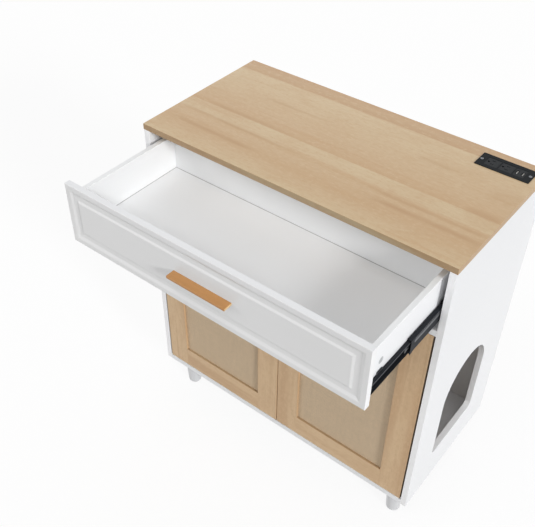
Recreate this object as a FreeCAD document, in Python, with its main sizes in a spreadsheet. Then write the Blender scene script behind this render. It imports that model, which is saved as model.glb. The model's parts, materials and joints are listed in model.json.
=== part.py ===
"""Cat litter box cabinet: a drawer over a two-door litter compartment, on four legs.

Frame: X across the width, -Y out of the front, +Z up. The origin is on the floor, at the middle of the
cabinet's footprint. The drawer stands open by drawer_opening, the doors are shut. Sizes are in millimetres.
"""

import FreeCAD
import Part
import os

import Sketcher

SIZES = {
    # carcass
    "cabinet_width": 800,
    "cabinet_depth": 400,
    "board": 15,
    "top_overhang": 1.5,
    "leg_height": 110,
    "carcass_height": 762,
    "shelf_height": 590,
    "back_thickness": 5,
    "back_inset": 10,
    "groove_depth": 5,
    "groove_clearance": 0.15,
    "cable_hole_radius": 15,
    "cable_hole_drop": 47,
    # cat entrance through the right side panel
    "arch_width": 197,
    "arch_sill": 105,
    "arch_jamb": 178,
    "arch_corner": 12,
    # legs
    "leg_inset_side": 52,
    "leg_inset_front": 52,
    "leg_top_radius": 25,
    "leg_foot_radius": 18,
    "leg_foot_bevel": 1.5,
    "glide_radius": 15,
    "glide_thickness": 3,
    "hanger_bolt_radius": 4,
    "hanger_bolt_in_leg": 25,
    "hanger_bolt_in_nut": 12,
    "insert_nut_radius": 6,
    "insert_nut_depth": 13,
    "thread_clearance": 0.05,
    # cam fittings
    "cam_radius": 7.4,
    "cam_clearance": 0.1,
    "cam_height": 11.5,
    "cam_cap": 2.5,
    "cam_distance": 40,
    "cam_bolt_radius": 3.5,
    "cam_bolt_bore": 3.7,
    "cam_thread_radius": 2.5,
    "cam_thread_length": 10,
    "cam_head_length": 4,
    "cam_neck_radius": 2,
    "cam_neck_length": 6,
    "cam_slot_length": 8,
    "cam_slot_width": 1.6,
    "cam_slot_depth": 1.5,
    "bottom_cam_spread": 100,
    "front_cam_setback": 60,
    "rear_cam_setback": 80,
    # power strip
    "strip_side_margin": 16,
    "strip_back_margin": 23,
    "strip_length": 123,
    "strip_width": 51,
    "strip_flange": 1.5,
    "strip_corner": 2,
    "tub_end_room": 1,
    "tub_side_room": 4.5,
    "tub_depth": 36,
    "tub_wall": 2,
    "tub_clearance": 1,
    "outlet_size": 30,
    "outlet_depth": 18,
    "outlet_sink": 0.6,
    "outlet_gap": 2.5,
    "insert_clearance": 0.1,
    "blade_slot_width": 2,
    "blade_slot_length": 8,
    "blade_slot_spread": 12.7,
    "ground_hole_radius": 2.5,
    "slot_depth": 12,
    "usb_width": 24,
    "usb_port_length": 13,
    "usb_port_width": 5,
    "usb_tongue_length": 11,
    "usb_tongue_width": 1.8,
    "usb_tongue_drop": 1,
    "usb_spread": 13,
    "strip_screw_inset": 6.5,
    "gland_radius": 6,
    "gland_tip_radius": 4.5,
    "gland_bore_radius": 3,
    "gland_length": 14,
    # drawer
    "drawer_opening": 254,
    "front_side_gap": 3.5,
    "front_base_gap": 2,
    "front_top_gap": 2,
    "front_edge_round": 1.5,
    "front_border": 11,
    "cove_run": 10,
    "cove_depth": 3.6,
    "cove_floor": 10,
    "field_rise_run": 6.5,
    "field_rise": 3.2,
    "slide_gap": 13,
    "drawer_board": 12,
    "drawer_lift": 27,
    "drawer_side_height": 103,
    "drawer_side_length": 305,
    "drawer_floor_lift": 10,
    "drawer_bottom_thickness": 5,
    "drawer_groove_depth": 4,
    "drawer_cam_lift": 54,
    "drawer_cam_depth": 9.5,
    # pulls
    "pull_length": 150,
    "pull_reach": 21.8,
    "pull_thickness": 7,
    "pull_round": 1.5,
    "pull_screw_spread": 96,
    "pull_screw_bite": 12,
    "door_pull_drop": 168,
    # screws
    "screw_radius": 2,
    "screw_hole_radius": 2.2,
    "screw_head_radius": 3.6,
    "screw_head_height": 1.6,
    "flat_head_height": 0.9,
    "slide_screw_length": 11,
    "drawer_screw_length": 7.5,
    "strip_screw_length": 12,
    "pilot_radius": 2.05,
    "pilot_spare": 0.5,
    # slides
    "slide_length": 300,
    "slide_setback": 2,
    "outer_setback": 1,
    "slide_lift": 14,
    "slide_screw_front": 40,
    "slide_screw_middle": 145,
    "slide_screw_rear": 255,
    "steel": 1.2,
    "outer_member_height": 45,
    "outer_member_depth": 11,
    "outer_lip": 3.6,
    "web_gap": 1.2,
    "middle_member_length": 296,
    "middle_member_height": 35,
    "middle_member_depth": 9.1,
    "middle_lip": 3.6,
    "inner_member_height": 26,
    "inner_member_depth": 8.9,
    "stop_tab_setback": 26,
    "stop_tab_length": 20,
    "stop_tab_rise": 6,
    "hook_tab_length": 9,
    "hook_tab_drop": 3,
    "lever_pivot_setback": 160,
    "lever_length": 45,
    "lever_thickness": 3,
    "lever_height": 8,
    "lever_thumb": 10,
    "lever_offset": 6,
    "lever_pin_radius": 2,
    "lever_pin_spare": 0.6,
    "running_clearance": 0.05,
    # doors
    "door_side_gap": 3.5,
    "door_centre_gap": 2,
    "door_bottom_gap": 3,
    "door_top_gap": 2,
    "stile_width": 63,
    "rail_width": 63,
    "panel_recess": 6,
    "panel_thickness": 3.5,
    "panel_groove_depth": 8,
    "panel_clearance": 0.1,
    "panel_edge_gap": 0.5,
    # door pivots and catch
    "pivot_inset": 9,
    "pin_radius": 2.5,
    "pin_in_door": 20,
    "pin_in_bush": 8,
    "pin_collar_radius": 4.5,
    "pin_collar_gap": 0.3,
    "bush_radius": 4.5,
    "bush_depth": 9,
    "bush_flange_radius": 7,
    "bush_flange": 1,
    "catch_length": 60,
    "catch_depth": 22,
    "catch_height": 18,
    "magnet_length": 18,
    "magnet_depth": 8,
    "magnet_height": 8,
    "magnet_proud": 0.5,
    "magnet_spread": 34,
    "strike_length": 22,
    "strike_height": 16,
    "strike_thickness": 1,
    "strike_gap": 0.3,
}

# places worked out from the sizes
SIDE_OUTER = "(dims.cabinet_width / 2 - dims.top_overhang)"
SIDE_INNER = f"({SIDE_OUTER} - dims.board)"
FRONT_Y = "(-dims.cabinet_depth / 2)"
REAR_Y = "(dims.cabinet_depth / 2)"
BODY_BASE = "dims.leg_height"
FLOOR_TOP = "(dims.leg_height + dims.board)"
SHELF_BASE = "(dims.leg_height + dims.shelf_height)"
TOP_BASE = "(dims.leg_height + dims.carcass_height)"
TOP_FACE = f"({TOP_BASE} + dims.board)"
BACK_REAR = f"({REAR_Y} - dims.back_inset)"
BACK_FRONT = f"({BACK_REAR} - dims.back_thickness)"
DRAWER_FACE = f"({FRONT_Y} - dims.drawer_opening)"
DRAWER_BACK_OF_FRONT = f"({DRAWER_FACE} + dims.board)"
DRAWER_REAR = f"({DRAWER_BACK_OF_FRONT} + dims.drawer_side_length)"
DRAWER_OUTER = f"({SIDE_INNER} - dims.slide_gap)"
DRAWER_INNER = f"({DRAWER_OUTER} - dims.drawer_board)"
SHELF_TOP = f"({SHELF_BASE} + dims.board)"
DRAWER_BASE = f"({SHELF_TOP} + dims.drawer_lift)"
SLIDE_Z = f"({DRAWER_BASE} + dims.slide_lift)"
FRONT_BASE = f"({SHELF_TOP} + dims.front_base_gap)"
FRONT_HEIGHT = f"({TOP_BASE} - dims.front_top_gap - {FRONT_BASE})"
FRONT_HALF_WIDTH = f"({SIDE_INNER} - dims.front_side_gap)"
PULL_Z = f"({FRONT_BASE} + {FRONT_HEIGHT} / 2)"
STRIP_X = "(dims.cabinet_width / 2 - dims.strip_side_margin - dims.strip_length / 2)"
STRIP_Y = "(dims.cabinet_depth / 2 - dims.strip_back_margin - dims.strip_width / 2)"
SLIDE_CLOSED_FRONT = f"({FRONT_Y} + dims.board + dims.slide_setback)"
DOOR_BASE = f"({FLOOR_TOP} + dims.door_bottom_gap)"
DOOR_TOP = f"({SHELF_BASE} - dims.door_top_gap)"
DOOR_OUTER = f"({SIDE_INNER} - dims.door_side_gap)"
DOOR_MEETING = "(dims.door_centre_gap / 2)"
DOOR_BACK = f"({FRONT_Y} + dims.board)"
PIVOT_X = f"({DOOR_OUTER} - dims.pivot_inset)"
PIVOT_Y = f"({FRONT_Y} + dims.board / 2)"

X = FreeCAD.Vector(1, 0, 0)
Y = FreeCAD.Vector(0, 1, 0)
Z = FreeCAD.Vector(0, 0, 1)
SIGNS = {"left": -1, "right": 1}

doc = FreeCAD.newDocument("cat_litter_cabinet")
sheet = doc.addObject("Spreadsheet::Sheet", "dims")
for row, (alias, value) in enumerate(SIZES.items(), 1):
    sheet.set(f"A{row}", alias)
    sheet.set(f"B{row}", str(value))
    sheet.setAlias(f"B{row}", alias)
doc.recompute()

pieces = []


# ---------------------------------------------------------------- tools
def keep(thing, label):
    """Names a finished sub-part; its label is the name of its file."""
    thing.Label = label
    pieces.append(thing)
    return thing


def place(thing, at, turn=None):
    """Turns a thing, then ties where it stands to the sheet."""
    thing.Placement = FreeCAD.Placement(FreeCAD.Vector(), turn or FreeCAD.Rotation())
    for axis, text in zip("xyz", at):
        thing.setExpression(f"Placement.Base.{axis}", text)
    return thing


def mirrored(side, text):
    """A place on the right, or its mirror image on the left."""
    return text if side == "right" else f"-({text})"


def low(side, inner, outer):
    """The lower X of a span from inner to outer on the right, or of its mirror image on the left."""
    return inner if side == "right" else f"-({outer})"


def box(name, at, size):
    """A block by its lowest corner and its three sizes."""
    block = doc.addObject("Part::Box", name)
    for prop, text in zip(("Length", "Width", "Height"), size):
        block.setExpression(prop, text)
    return place(block, at)


def rod(name, radius, length, at, towards=Z):
    """A round bar from a point towards a direction."""
    bar = doc.addObject("Part::Cylinder", name)
    bar.setExpression("Radius", radius)
    bar.setExpression("Height", length)
    return place(bar, at, FreeCAD.Rotation(Z, towards))


def union(name, things):
    """Several overlapping or touching things as one."""
    whole = doc.addObject("Part::MultiFuse", name)
    whole.Shapes = things
    return whole


def without(name, base, tools):
    """A thing with the tools cut out of it."""
    result = doc.addObject("Part::Cut", name)
    result.Base = base
    result.Tool = tools[0] if len(tools) == 1 else union(f"{name}_tools", tools)
    return result


def group(label, copies):
    """Identical small pieces kept together as separate solids."""
    together = doc.addObject("Part::Compound", label)
    together.Links = copies
    return keep(together, label)


def copy_of(pattern, name, at, turn=None):
    """Another of the same piece, standing elsewhere."""
    link = doc.addObject("App::Link", name)
    link.LinkedObject = pattern
    return place(link, at, turn)


def axes_turn(x_axis, z_axis):
    """The turn that sends X to x_axis and Z to z_axis."""
    return FreeCAD.Rotation(x_axis, z_axis.cross(x_axis), z_axis, "ZXY")


def new_body(name):
    return doc.addObject("PartDesign::Body", name)


def sketch_on(body, name, role, lift=None):
    """A sketch on one of the body's own origin planes, raised along its normal if lift is given."""
    sketch = body.newObject("Sketcher::SketchObject", name)
    plane = [feature for feature in body.Origin.OriginFeatures if feature.Role == role][0]
    sketch.AttachmentSupport = [(plane, "")]
    sketch.MapMode = "FlatFace"
    if lift:
        sketch.setExpression("AttachmentOffset.Base.z", lift)
    return sketch


def pin_point(sketch, tag, geometry, point, start, at):
    """Holds a point of the sketch at sheet-driven distances from the origin."""
    for kind, number, text in (("DistanceX", start.x, at[0]), ("DistanceY", start.y, at[1])):
        index = sketch.addConstraint(Sketcher.Constraint(kind, -1, 1, geometry, point, number))
        sketch.renameConstraint(index, f"{tag}{kind[-1]}")
        sketch.setExpression(f"Constraints.{tag}{kind[-1]}", text)


def polygon(sketch, corners, tag="corner"):
    """A closed outline through the corners, each tied to the sheet. It starts as a regular polygon."""
    count = len(corners)
    spokes = [FreeCAD.Rotation(Z, 360 * i / count).multVec(X * 100) for i in range(count)]
    first = sketch.GeometryCount
    for i in range(count):
        sketch.addGeometry(Part.LineSegment(spokes[i], spokes[(i + 1) % count]))
    for i in range(count):
        sketch.addConstraint(Sketcher.Constraint("Coincident", first + i, 2, first + (i + 1) % count, 1))
        pin_point(sketch, f"{tag}{i}", first + i, 1, spokes[i], corners[i])
    return sketch


def rectangle(sketch, low_corner, high_corner, tag="corner"):
    (x0, y0), (x1, y1) = low_corner, high_corner
    return polygon(sketch, [(x0, y0), (x1, y0), (x1, y1), (x0, y1)], tag)


def circle(sketch, centre, radius, tag="circle"):
    """A circle whose centre and radius are tied to the sheet."""
    start = FreeCAD.Vector(10, 10, 0)
    index = sketch.addGeometry(Part.Circle(start, Z, 5))
    pin_point(sketch, tag, index, 3, start, centre)
    number = sketch.addConstraint(Sketcher.Constraint("Radius", index, 5))
    sketch.renameConstraint(number, f"{tag}_radius")
    sketch.setExpression(f"Constraints.{tag}_radius", radius)
    return sketch


def pad(body, sketch, length):
    feature = body.newObject("PartDesign::Pad", f"{sketch.Name}_pad")
    feature.Profile = sketch
    feature.setExpression("Length", length)
    return feature


def pocket_through(body, sketch):
    """Cuts the sketch's outline right through the body, and makes sure that it took something away."""
    doc.recompute()
    before = body.Shape.Volume
    feature = body.newObject("PartDesign::Pocket", f"{sketch.Name}_pocket")
    feature.Profile = sketch
    feature.Midplane = True
    feature.Type = "ThroughAll"
    doc.recompute()
    assert body.Shape.Volume < before, f"{sketch.Name} cuts nothing"
    return feature


def turned(body, sketch):
    """Revolves the sketch's outline round its vertical axis."""
    feature = body.newObject("PartDesign::Revolution", f"{sketch.Name}_turned")
    feature.Profile = sketch
    feature.ReferenceAxis = (sketch, ["V_Axis"])
    feature.Angle = 360
    return feature


def round_edges(body, tip, radius, wanted):
    """Fillets every edge of the tip for which wanted(edge) holds."""
    doc.recompute()
    names = [f"Edge{i}" for i, edge in enumerate(tip.Shape.Edges, 1) if wanted(edge)]
    assert names, f"{body.Name} has no edge to round"
    feature = body.newObject("PartDesign::Fillet", f"{body.Name}_round")
    feature.Base = (tip, names)
    feature.setExpression("Radius", radius)
    return feature


def runs_along(edge, axis):
    """Whether an edge is a straight line along an axis."""
    if edge.Curve.TypeId != "Part::GeomLine":
        return False
    return abs(edge.tangentAt(edge.FirstParameter).dot(axis)) > 0.999


# ---------------------------------------------------------------- fasteners used in several places
def screw_pattern(name, head_height, length):
    """A round-headed screw with a cross recess: its head stands on the plane Z = 0, its shank goes down."""
    body = new_body(f"{name}_body")
    sketch = sketch_on(body, f"{name}_outline", "XZ_Plane")
    corners = [
        ("0", head_height),
        ("dims.screw_head_radius * 0.7", head_height),
        ("dims.screw_head_radius", f"{head_height} * 0.5"),
        ("dims.screw_head_radius", "0"),
        ("dims.screw_radius", "0"),
        ("dims.screw_radius", f"-({length}) + dims.screw_radius"),
        ("0", f"-({length})"),
    ]
    polygon(sketch, corners)
    turned(body, sketch)
    reach = "dims.screw_head_radius * 0.5"
    blade = "dims.screw_radius * 0.35"
    depth = f"{head_height} * 0.6"
    slots = []
    for tag, half_x, half_y in (("a", reach, blade), ("b", blade, reach)):
        at = (f"-({half_x})", f"-({half_y})", f"{head_height} - {depth}")
        slots.append(box(f"{name}_recess_{tag}", at, (f"2 * {half_x}", f"2 * {half_y}", depth)))
    return without(name, body, slots)


def cam_pattern(name, height, axis_depth):
    """A cam lock: its slotted face is the plane Z = 0, and its mouth for the bolt opens towards +X."""
    disc = rod(f"{name}_disc", "dims.cam_radius", height, ("0", "0", f"-({height})"))
    half = "(dims.cam_bolt_radius + dims.cam_clearance)"
    mouth_height = f"(min({height} - dims.cam_cap; {axis_depth} + {half} - dims.cam_cap))"
    mouth = box(
        f"{name}_mouth",
        ("-dims.cam_head_length", f"-{half}", f"-dims.cam_cap - {mouth_height}"),
        ("dims.cam_head_length + dims.cam_radius", f"2 * {half}", mouth_height),
    )
    slots = []
    long, narrow = "dims.cam_slot_length", "dims.cam_slot_width"
    for tag, length, width in (("a", long, narrow), ("b", narrow, long)):
        at = (f"-{length} / 2", f"-{width} / 2", "-dims.cam_slot_depth")
        slots.append(box(f"{name}_slot_{tag}", at, (length, width, "dims.cam_slot_depth")))
    return without(name, disc, [mouth] + slots)


def cam_bolt_pattern():
    """A cam bolt standing along +Z: its thread is in the mating board below Z = 0, its head in the cam."""
    body = new_body("cam_bolt_body")
    sketch = sketch_on(body, "cam_bolt_outline", "XZ_Plane")
    tip = "dims.cam_distance + dims.cam_head_length / 2"
    neck = f"{tip} - dims.cam_head_length"
    shank = f"{neck} - dims.cam_neck_length"
    polygon(
        sketch,
        [
            ("0", "-dims.cam_thread_length"),
            ("dims.cam_thread_radius", "-dims.cam_thread_length"),
            ("dims.cam_thread_radius", "0"),
            ("dims.cam_bolt_radius", "0"),
            ("dims.cam_bolt_radius", shank),
            ("dims.cam_neck_radius", shank),
            ("dims.cam_neck_radius", neck),
            ("dims.cam_bolt_radius", neck),
            ("dims.cam_bolt_radius", tip),
            ("0", tip),
        ],
    )
    turned(body, sketch)
    return body


pan_screw = screw_pattern("pan_screw", "dims.screw_head_height", "dims.drawer_screw_length")
flat_screw = screw_pattern("flat_screw", "dims.flat_head_height", "dims.slide_screw_length")
strip_reach = "dims.strip_screw_length + dims.strip_flange"
strip_screw = screw_pattern("strip_screw", "dims.flat_head_height", strip_reach)
pull_screw = screw_pattern("pull_screw", "dims.screw_head_height", "dims.board + dims.pull_screw_bite")
carcass_cam = cam_pattern("carcass_cam", "dims.cam_height", "dims.board / 2")
drawer_cam = cam_pattern("drawer_cam", "dims.drawer_cam_depth", "dims.drawer_board / 2")
cam_bolt = cam_bolt_pattern()


class Joinery:
    """The cam fittings of one assembly, and the holes that they need in each board."""

    def __init__(self, name, cam, cam_depth):
        self.name = name
        self.cam = cam
        self.cam_depth = cam_depth
        self.locks = []
        self.bolts = []
        self.holes = {}

    def hole(self, board, radius, length, at, towards):
        drilled = self.holes.setdefault(board, [])
        drilled.append(rod(f"{board}_hole_{len(drilled)}", radius, length, at, towards))

    def add(self, cam_board, mating_board, joint, along, face, face_normal):
        """A fitting: its bolt starts at joint and runs along, its cam's face is on the plane face."""
        number = len(self.locks)
        axis = "xyz"[[abs(c) > 0.5 for c in along].index(True)]
        sign = "+" if sum(along) > 0 else "-"
        centre = list(joint)
        centre["xyz".index(axis)] = f"{joint['xyz'.index(axis)]} {sign} dims.cam_distance"
        seat = list(centre)
        seat[[abs(c) > 0.5 for c in face_normal].index(True)] = face
        turn = axes_turn(-along, face_normal)
        self.locks.append(copy_of(self.cam, f"{self.name}_lock_{number}", seat, turn))
        self.bolts.append(copy_of(cam_bolt, f"{self.name}_bolt_{number}", joint, FreeCAD.Rotation(Z, along)))
        self.hole(cam_board, "dims.cam_radius + dims.cam_clearance", self.cam_depth, seat, -face_normal)
        self.hole(cam_board, "dims.cam_bolt_bore", "dims.cam_distance", joint, along)
        self.hole(
            mating_board,
            "dims.cam_thread_radius + dims.thread_clearance",
            "dims.cam_thread_length + dims.pilot_spare",
            joint,
            -along,
        )

    def finish(self):
        group(f"{self.name}_cam_locks", self.locks)
        group(f"{self.name}_cam_bolts", self.bolts)


# ---------------------------------------------------------------- where the fittings go
carcass = Joinery("carcass", carcass_cam, "dims.cam_height")
for side, sign in SIGNS.items():
    inward = X * -sign
    edge = mirrored(side, SIDE_INNER)
    panel = f"side_panel_{side}"
    for y in ("-dims.bottom_cam_spread", "dims.bottom_cam_spread"):
        joint = (edge, y, f"{BODY_BASE} + dims.board / 2")
        carcass.add("bottom_panel", panel, joint, inward, BODY_BASE, -Z)
    for y in (f"{FRONT_Y} + dims.front_cam_setback", f"{REAR_Y} - dims.rear_cam_setback"):
        joint = (edge, y, f"{SHELF_BASE} + dims.board / 2")
        carcass.add("drawer_shelf", panel, joint, inward, SHELF_BASE, -Z)
        top_joint = (mirrored(side, f"{SIDE_INNER} + dims.board / 2"), y, TOP_BASE)
        carcass.add(panel, "top_panel", top_joint, -Z, edge, inward)

drawer = Joinery("drawer", drawer_cam, "dims.drawer_cam_depth")
CAM_Z = f"{DRAWER_BASE} + dims.drawer_cam_lift"
for side, sign in SIGNS.items():
    outward = X * sign
    mid = mirrored(side, f"{DRAWER_INNER} + dims.drawer_board / 2")
    outer = mirrored(side, DRAWER_OUTER)
    drawer.add(f"drawer_side_{side}", "drawer_front", (mid, DRAWER_BACK_OF_FRONT, CAM_Z), Y, outer, outward)
    rear_joint = (mirrored(side, DRAWER_INNER), f"{DRAWER_REAR} - dims.drawer_board / 2", CAM_Z)
    drawer.add("drawer_back", f"drawer_side_{side}", rear_joint, -outward, DRAWER_REAR, Y)

SLIDE_SCREWS = ("dims.slide_screw_front", "dims.slide_screw_middle", "dims.slide_screw_rear")
PIVOTS = [(mirrored(side, PIVOT_X), PIVOT_Y) for side in SIGNS]
LEGS = {
    f"leg_{end}_{side}": (
        mirrored(side, "dims.cabinet_width / 2 - dims.top_overhang - dims.leg_inset_side"),
        f"{'-' if end == 'front' else ''}(dims.cabinet_depth / 2 - dims.leg_inset_front)",
    )
    for end in ("front", "rear")
    for side in SIGNS
}
STRIP_SCREWS = [f"{STRIP_X} {s} (dims.strip_length / 2 - dims.strip_screw_inset)" for s in "-+"]
GROOVE_FRONT = f"({BACK_FRONT} - dims.groove_clearance)"
GROOVE_WIDTH = "dims.back_thickness + 2 * dims.groove_clearance"


# ---------------------------------------------------------------- carcass boards
def bottom_panel():
    base = box(
        "bottom_board",
        (f"-{SIDE_INNER}", FRONT_Y, BODY_BASE),
        (f"2 * {SIDE_INNER}", "dims.cabinet_depth", "dims.board"),
    )
    tools = list(carcass.holes["bottom_panel"])
    tools.append(
        box(
            "bottom_groove",
            (f"-{SIDE_INNER}", GROOVE_FRONT, f"{FLOOR_TOP} - dims.groove_depth"),
            (f"2 * {SIDE_INNER}", GROOVE_WIDTH, "dims.groove_depth"),
        )
    )
    for i, (x, y) in enumerate(LEGS.values()):
        radius = "dims.insert_nut_radius + dims.thread_clearance"
        tools.append(rod(f"nut_hole_{i}", radius, "dims.insert_nut_depth", (x, y, BODY_BASE)))
    for i, (x, y) in enumerate(PIVOTS):
        radius = "dims.bush_radius + dims.thread_clearance"
        tools.append(rod(f"floor_bush_hole_{i}", radius, "dims.bush_depth", (x, y, FLOOR_TOP), -Z))
    keep(without("bottom_panel_cut", base, tools), "bottom_panel")


def drawer_shelf():
    base = box(
        "shelf_board",
        (f"-{SIDE_INNER}", FRONT_Y, SHELF_BASE),
        (f"2 * {SIDE_INNER}", f"{BACK_FRONT} - {FRONT_Y}", "dims.board"),
    )
    tools = list(carcass.holes["drawer_shelf"])
    for i, (x, y) in enumerate(PIVOTS):
        radius = "dims.bush_radius + dims.thread_clearance"
        tools.append(rod(f"shelf_bush_hole_{i}", radius, "dims.bush_depth", (x, y, SHELF_BASE)))
    keep(without("drawer_shelf_cut", base, tools), "drawer_shelf")


def side_panel(side):
    """A side panel on its own YZ plane; the right one has the round-headed cat entrance."""
    name = f"side_{side}"
    body = new_body(f"{name}_board")
    outline = sketch_on(body, f"{name}_outline", "YZ_Plane")
    rectangle(outline, (FRONT_Y, BODY_BASE), (REAR_Y, TOP_BASE))
    pad(body, outline, "dims.board")
    if side == "right":
        half = "dims.arch_width / 2"
        sill = "dims.leg_height + dims.arch_sill"
        spring = f"{sill} + dims.arch_jamb"
        doorway = sketch_on(body, "arch_doorway", "YZ_Plane")
        rectangle(doorway, (f"-{half}", sill), (half, spring))
        tip = pocket_through(body, doorway)
        sill_z = sheet.leg_height + sheet.arch_sill
        round_edges(
            body,
            tip,
            "dims.arch_corner",
            lambda edge: runs_along(edge, X) and abs(edge.CenterOfMass.z - sill_z) < 0.01,
        )
        head = sketch_on(body, "arch_head", "YZ_Plane")
        circle(head, ("0", spring), half)
        pocket_through(body, head)
    place(body, (low(side, SIDE_INNER, SIDE_OUTER), "0", "0"))
    tools = list(carcass.holes[f"side_panel_{side}"])
    tools.append(
        box(
            f"{name}_groove",
            (low(side, SIDE_INNER, f"{SIDE_INNER} + dims.groove_depth"), GROOVE_FRONT, BODY_BASE),
            ("dims.groove_depth", GROOVE_WIDTH, "dims.carcass_height"),
        )
    )
    outward = X * SIGNS[side]
    for i, setback in enumerate(SLIDE_SCREWS):
        at = (mirrored(side, SIDE_INNER), f"{SLIDE_CLOSED_FRONT} + {setback}", SLIDE_Z)
        tools.append(rod(f"{name}_pilot_{i}", "dims.pilot_radius", "dims.slide_screw_length", at, outward))
    keep(without(f"side_panel_{side}_cut", body, tools), f"side_panel_{side}")


def top_panel():
    base = box(
        "top_board",
        ("-dims.cabinet_width / 2", FRONT_Y, TOP_BASE),
        ("dims.cabinet_width", "dims.cabinet_depth", "dims.board"),
    )
    tools = list(carcass.holes["top_panel"])
    span = f"{SIDE_INNER} + dims.groove_depth"
    tools.append(
        box(
            "top_groove",
            (f"-({span})", GROOVE_FRONT, TOP_BASE),
            (f"2 * ({span})", GROOVE_WIDTH, "dims.groove_depth"),
        )
    )
    length = f"({TUB_LENGTH} + 2 * dims.tub_clearance)"
    width = f"({TUB_WIDTH} + 2 * dims.tub_clearance)"
    at = (f"{STRIP_X} - {length} / 2", f"{STRIP_Y} - {width} / 2", TOP_BASE)
    tools.append(box("strip_cutout", at, (length, width, "dims.board")))
    for i, x in enumerate(STRIP_SCREWS):
        at = (x, STRIP_Y, TOP_FACE)
        tools.append(rod(f"strip_pilot_{i}", "dims.pilot_radius", "dims.strip_screw_length", at, -Z))
    keep(without("top_panel_cut", base, tools), "top_panel")


def back_panel():
    half = f"({SIDE_INNER} + dims.groove_depth - dims.panel_edge_gap)"
    base = f"({FLOOR_TOP} - dims.groove_depth)"
    height = f"{TOP_BASE} + dims.groove_depth - dims.panel_edge_gap - {base}"
    board = box("back_board", (f"-{half}", BACK_FRONT, base), (f"2 * {half}", "dims.back_thickness", height))
    at = (STRIP_X, BACK_FRONT, f"{TOP_BASE} - dims.cable_hole_drop")
    hole = rod("cable_hole", "dims.cable_hole_radius", "dims.back_thickness", at, Y)
    keep(without("back_panel_cut", board, [hole]), "back_panel")


# ---------------------------------------------------------------- legs
def leg(label, x, y):
    """A round tapered leg, turned, with the bore for its hanger bolt in its top."""
    body = new_body(f"{label}_body")
    sketch = sketch_on(body, f"{label}_outline", "XZ_Plane")
    bore = "dims.hanger_bolt_radius + dims.thread_clearance"
    bore_end = "dims.leg_height - dims.hanger_bolt_in_leg"
    polygon(
        sketch,
        [
            ("0", "dims.glide_thickness"),
            ("dims.leg_foot_radius - dims.leg_foot_bevel", "dims.glide_thickness"),
            ("dims.leg_foot_radius", "dims.glide_thickness + dims.leg_foot_bevel"),
            ("dims.leg_top_radius", "dims.leg_height"),
            (bore, "dims.leg_height"),
            (bore, bore_end),
            ("0", bore_end),
        ],
    )
    turned(body, sketch)
    place(body, (x, y, "0"))
    keep(body, label)


def leg_fittings():
    bolts, nuts, glides = [], [], []
    for i, (x, y) in enumerate(LEGS.values()):
        glides.append(rod(f"glide_{i}", "dims.glide_radius", "dims.glide_thickness", (x, y, "0")))
        bolt_length = "dims.hanger_bolt_in_leg + dims.hanger_bolt_in_nut"
        bolt_base = "dims.leg_height - dims.hanger_bolt_in_leg"
        bolts.append(rod(f"hanger_bolt_{i}", "dims.hanger_bolt_radius", bolt_length, (x, y, bolt_base)))
        barrel = rod(f"nut_barrel_{i}", "dims.insert_nut_radius", "dims.insert_nut_depth", (x, y, BODY_BASE))
        bore = rod(
            f"nut_bore_{i}",
            "dims.hanger_bolt_radius + dims.thread_clearance",
            "dims.insert_nut_depth",
            (x, y, BODY_BASE),
        )
        nuts.append(without(f"insert_nut_{i}", barrel, [bore]))
    group("leg_glides", glides)
    group("leg_hanger_bolts", bolts)
    group("leg_insert_nuts", nuts)


# ---------------------------------------------------------------- power strip
OUTLETS_LENGTH = "(2 * dims.outlet_size + dims.usb_width + 2 * dims.outlet_gap)"
OUTLETS_LEFT = f"(-{OUTLETS_LENGTH} / 2)"
TUB_LENGTH = f"({OUTLETS_LENGTH} + 2 * (dims.tub_wall + dims.tub_end_room))"
TUB_WIDTH = "(dims.outlet_size + 2 * (dims.tub_wall + dims.tub_side_room))"
OUTLET_LOWS = [OUTLETS_LEFT, f"({OUTLETS_LEFT} + dims.outlet_size + dims.outlet_gap)"]
USB_LOW = f"({OUTLETS_LEFT} + 2 * dims.outlet_size + 2 * dims.outlet_gap)"
STRIP_AT = (STRIP_X, STRIP_Y, TOP_FACE)


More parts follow.
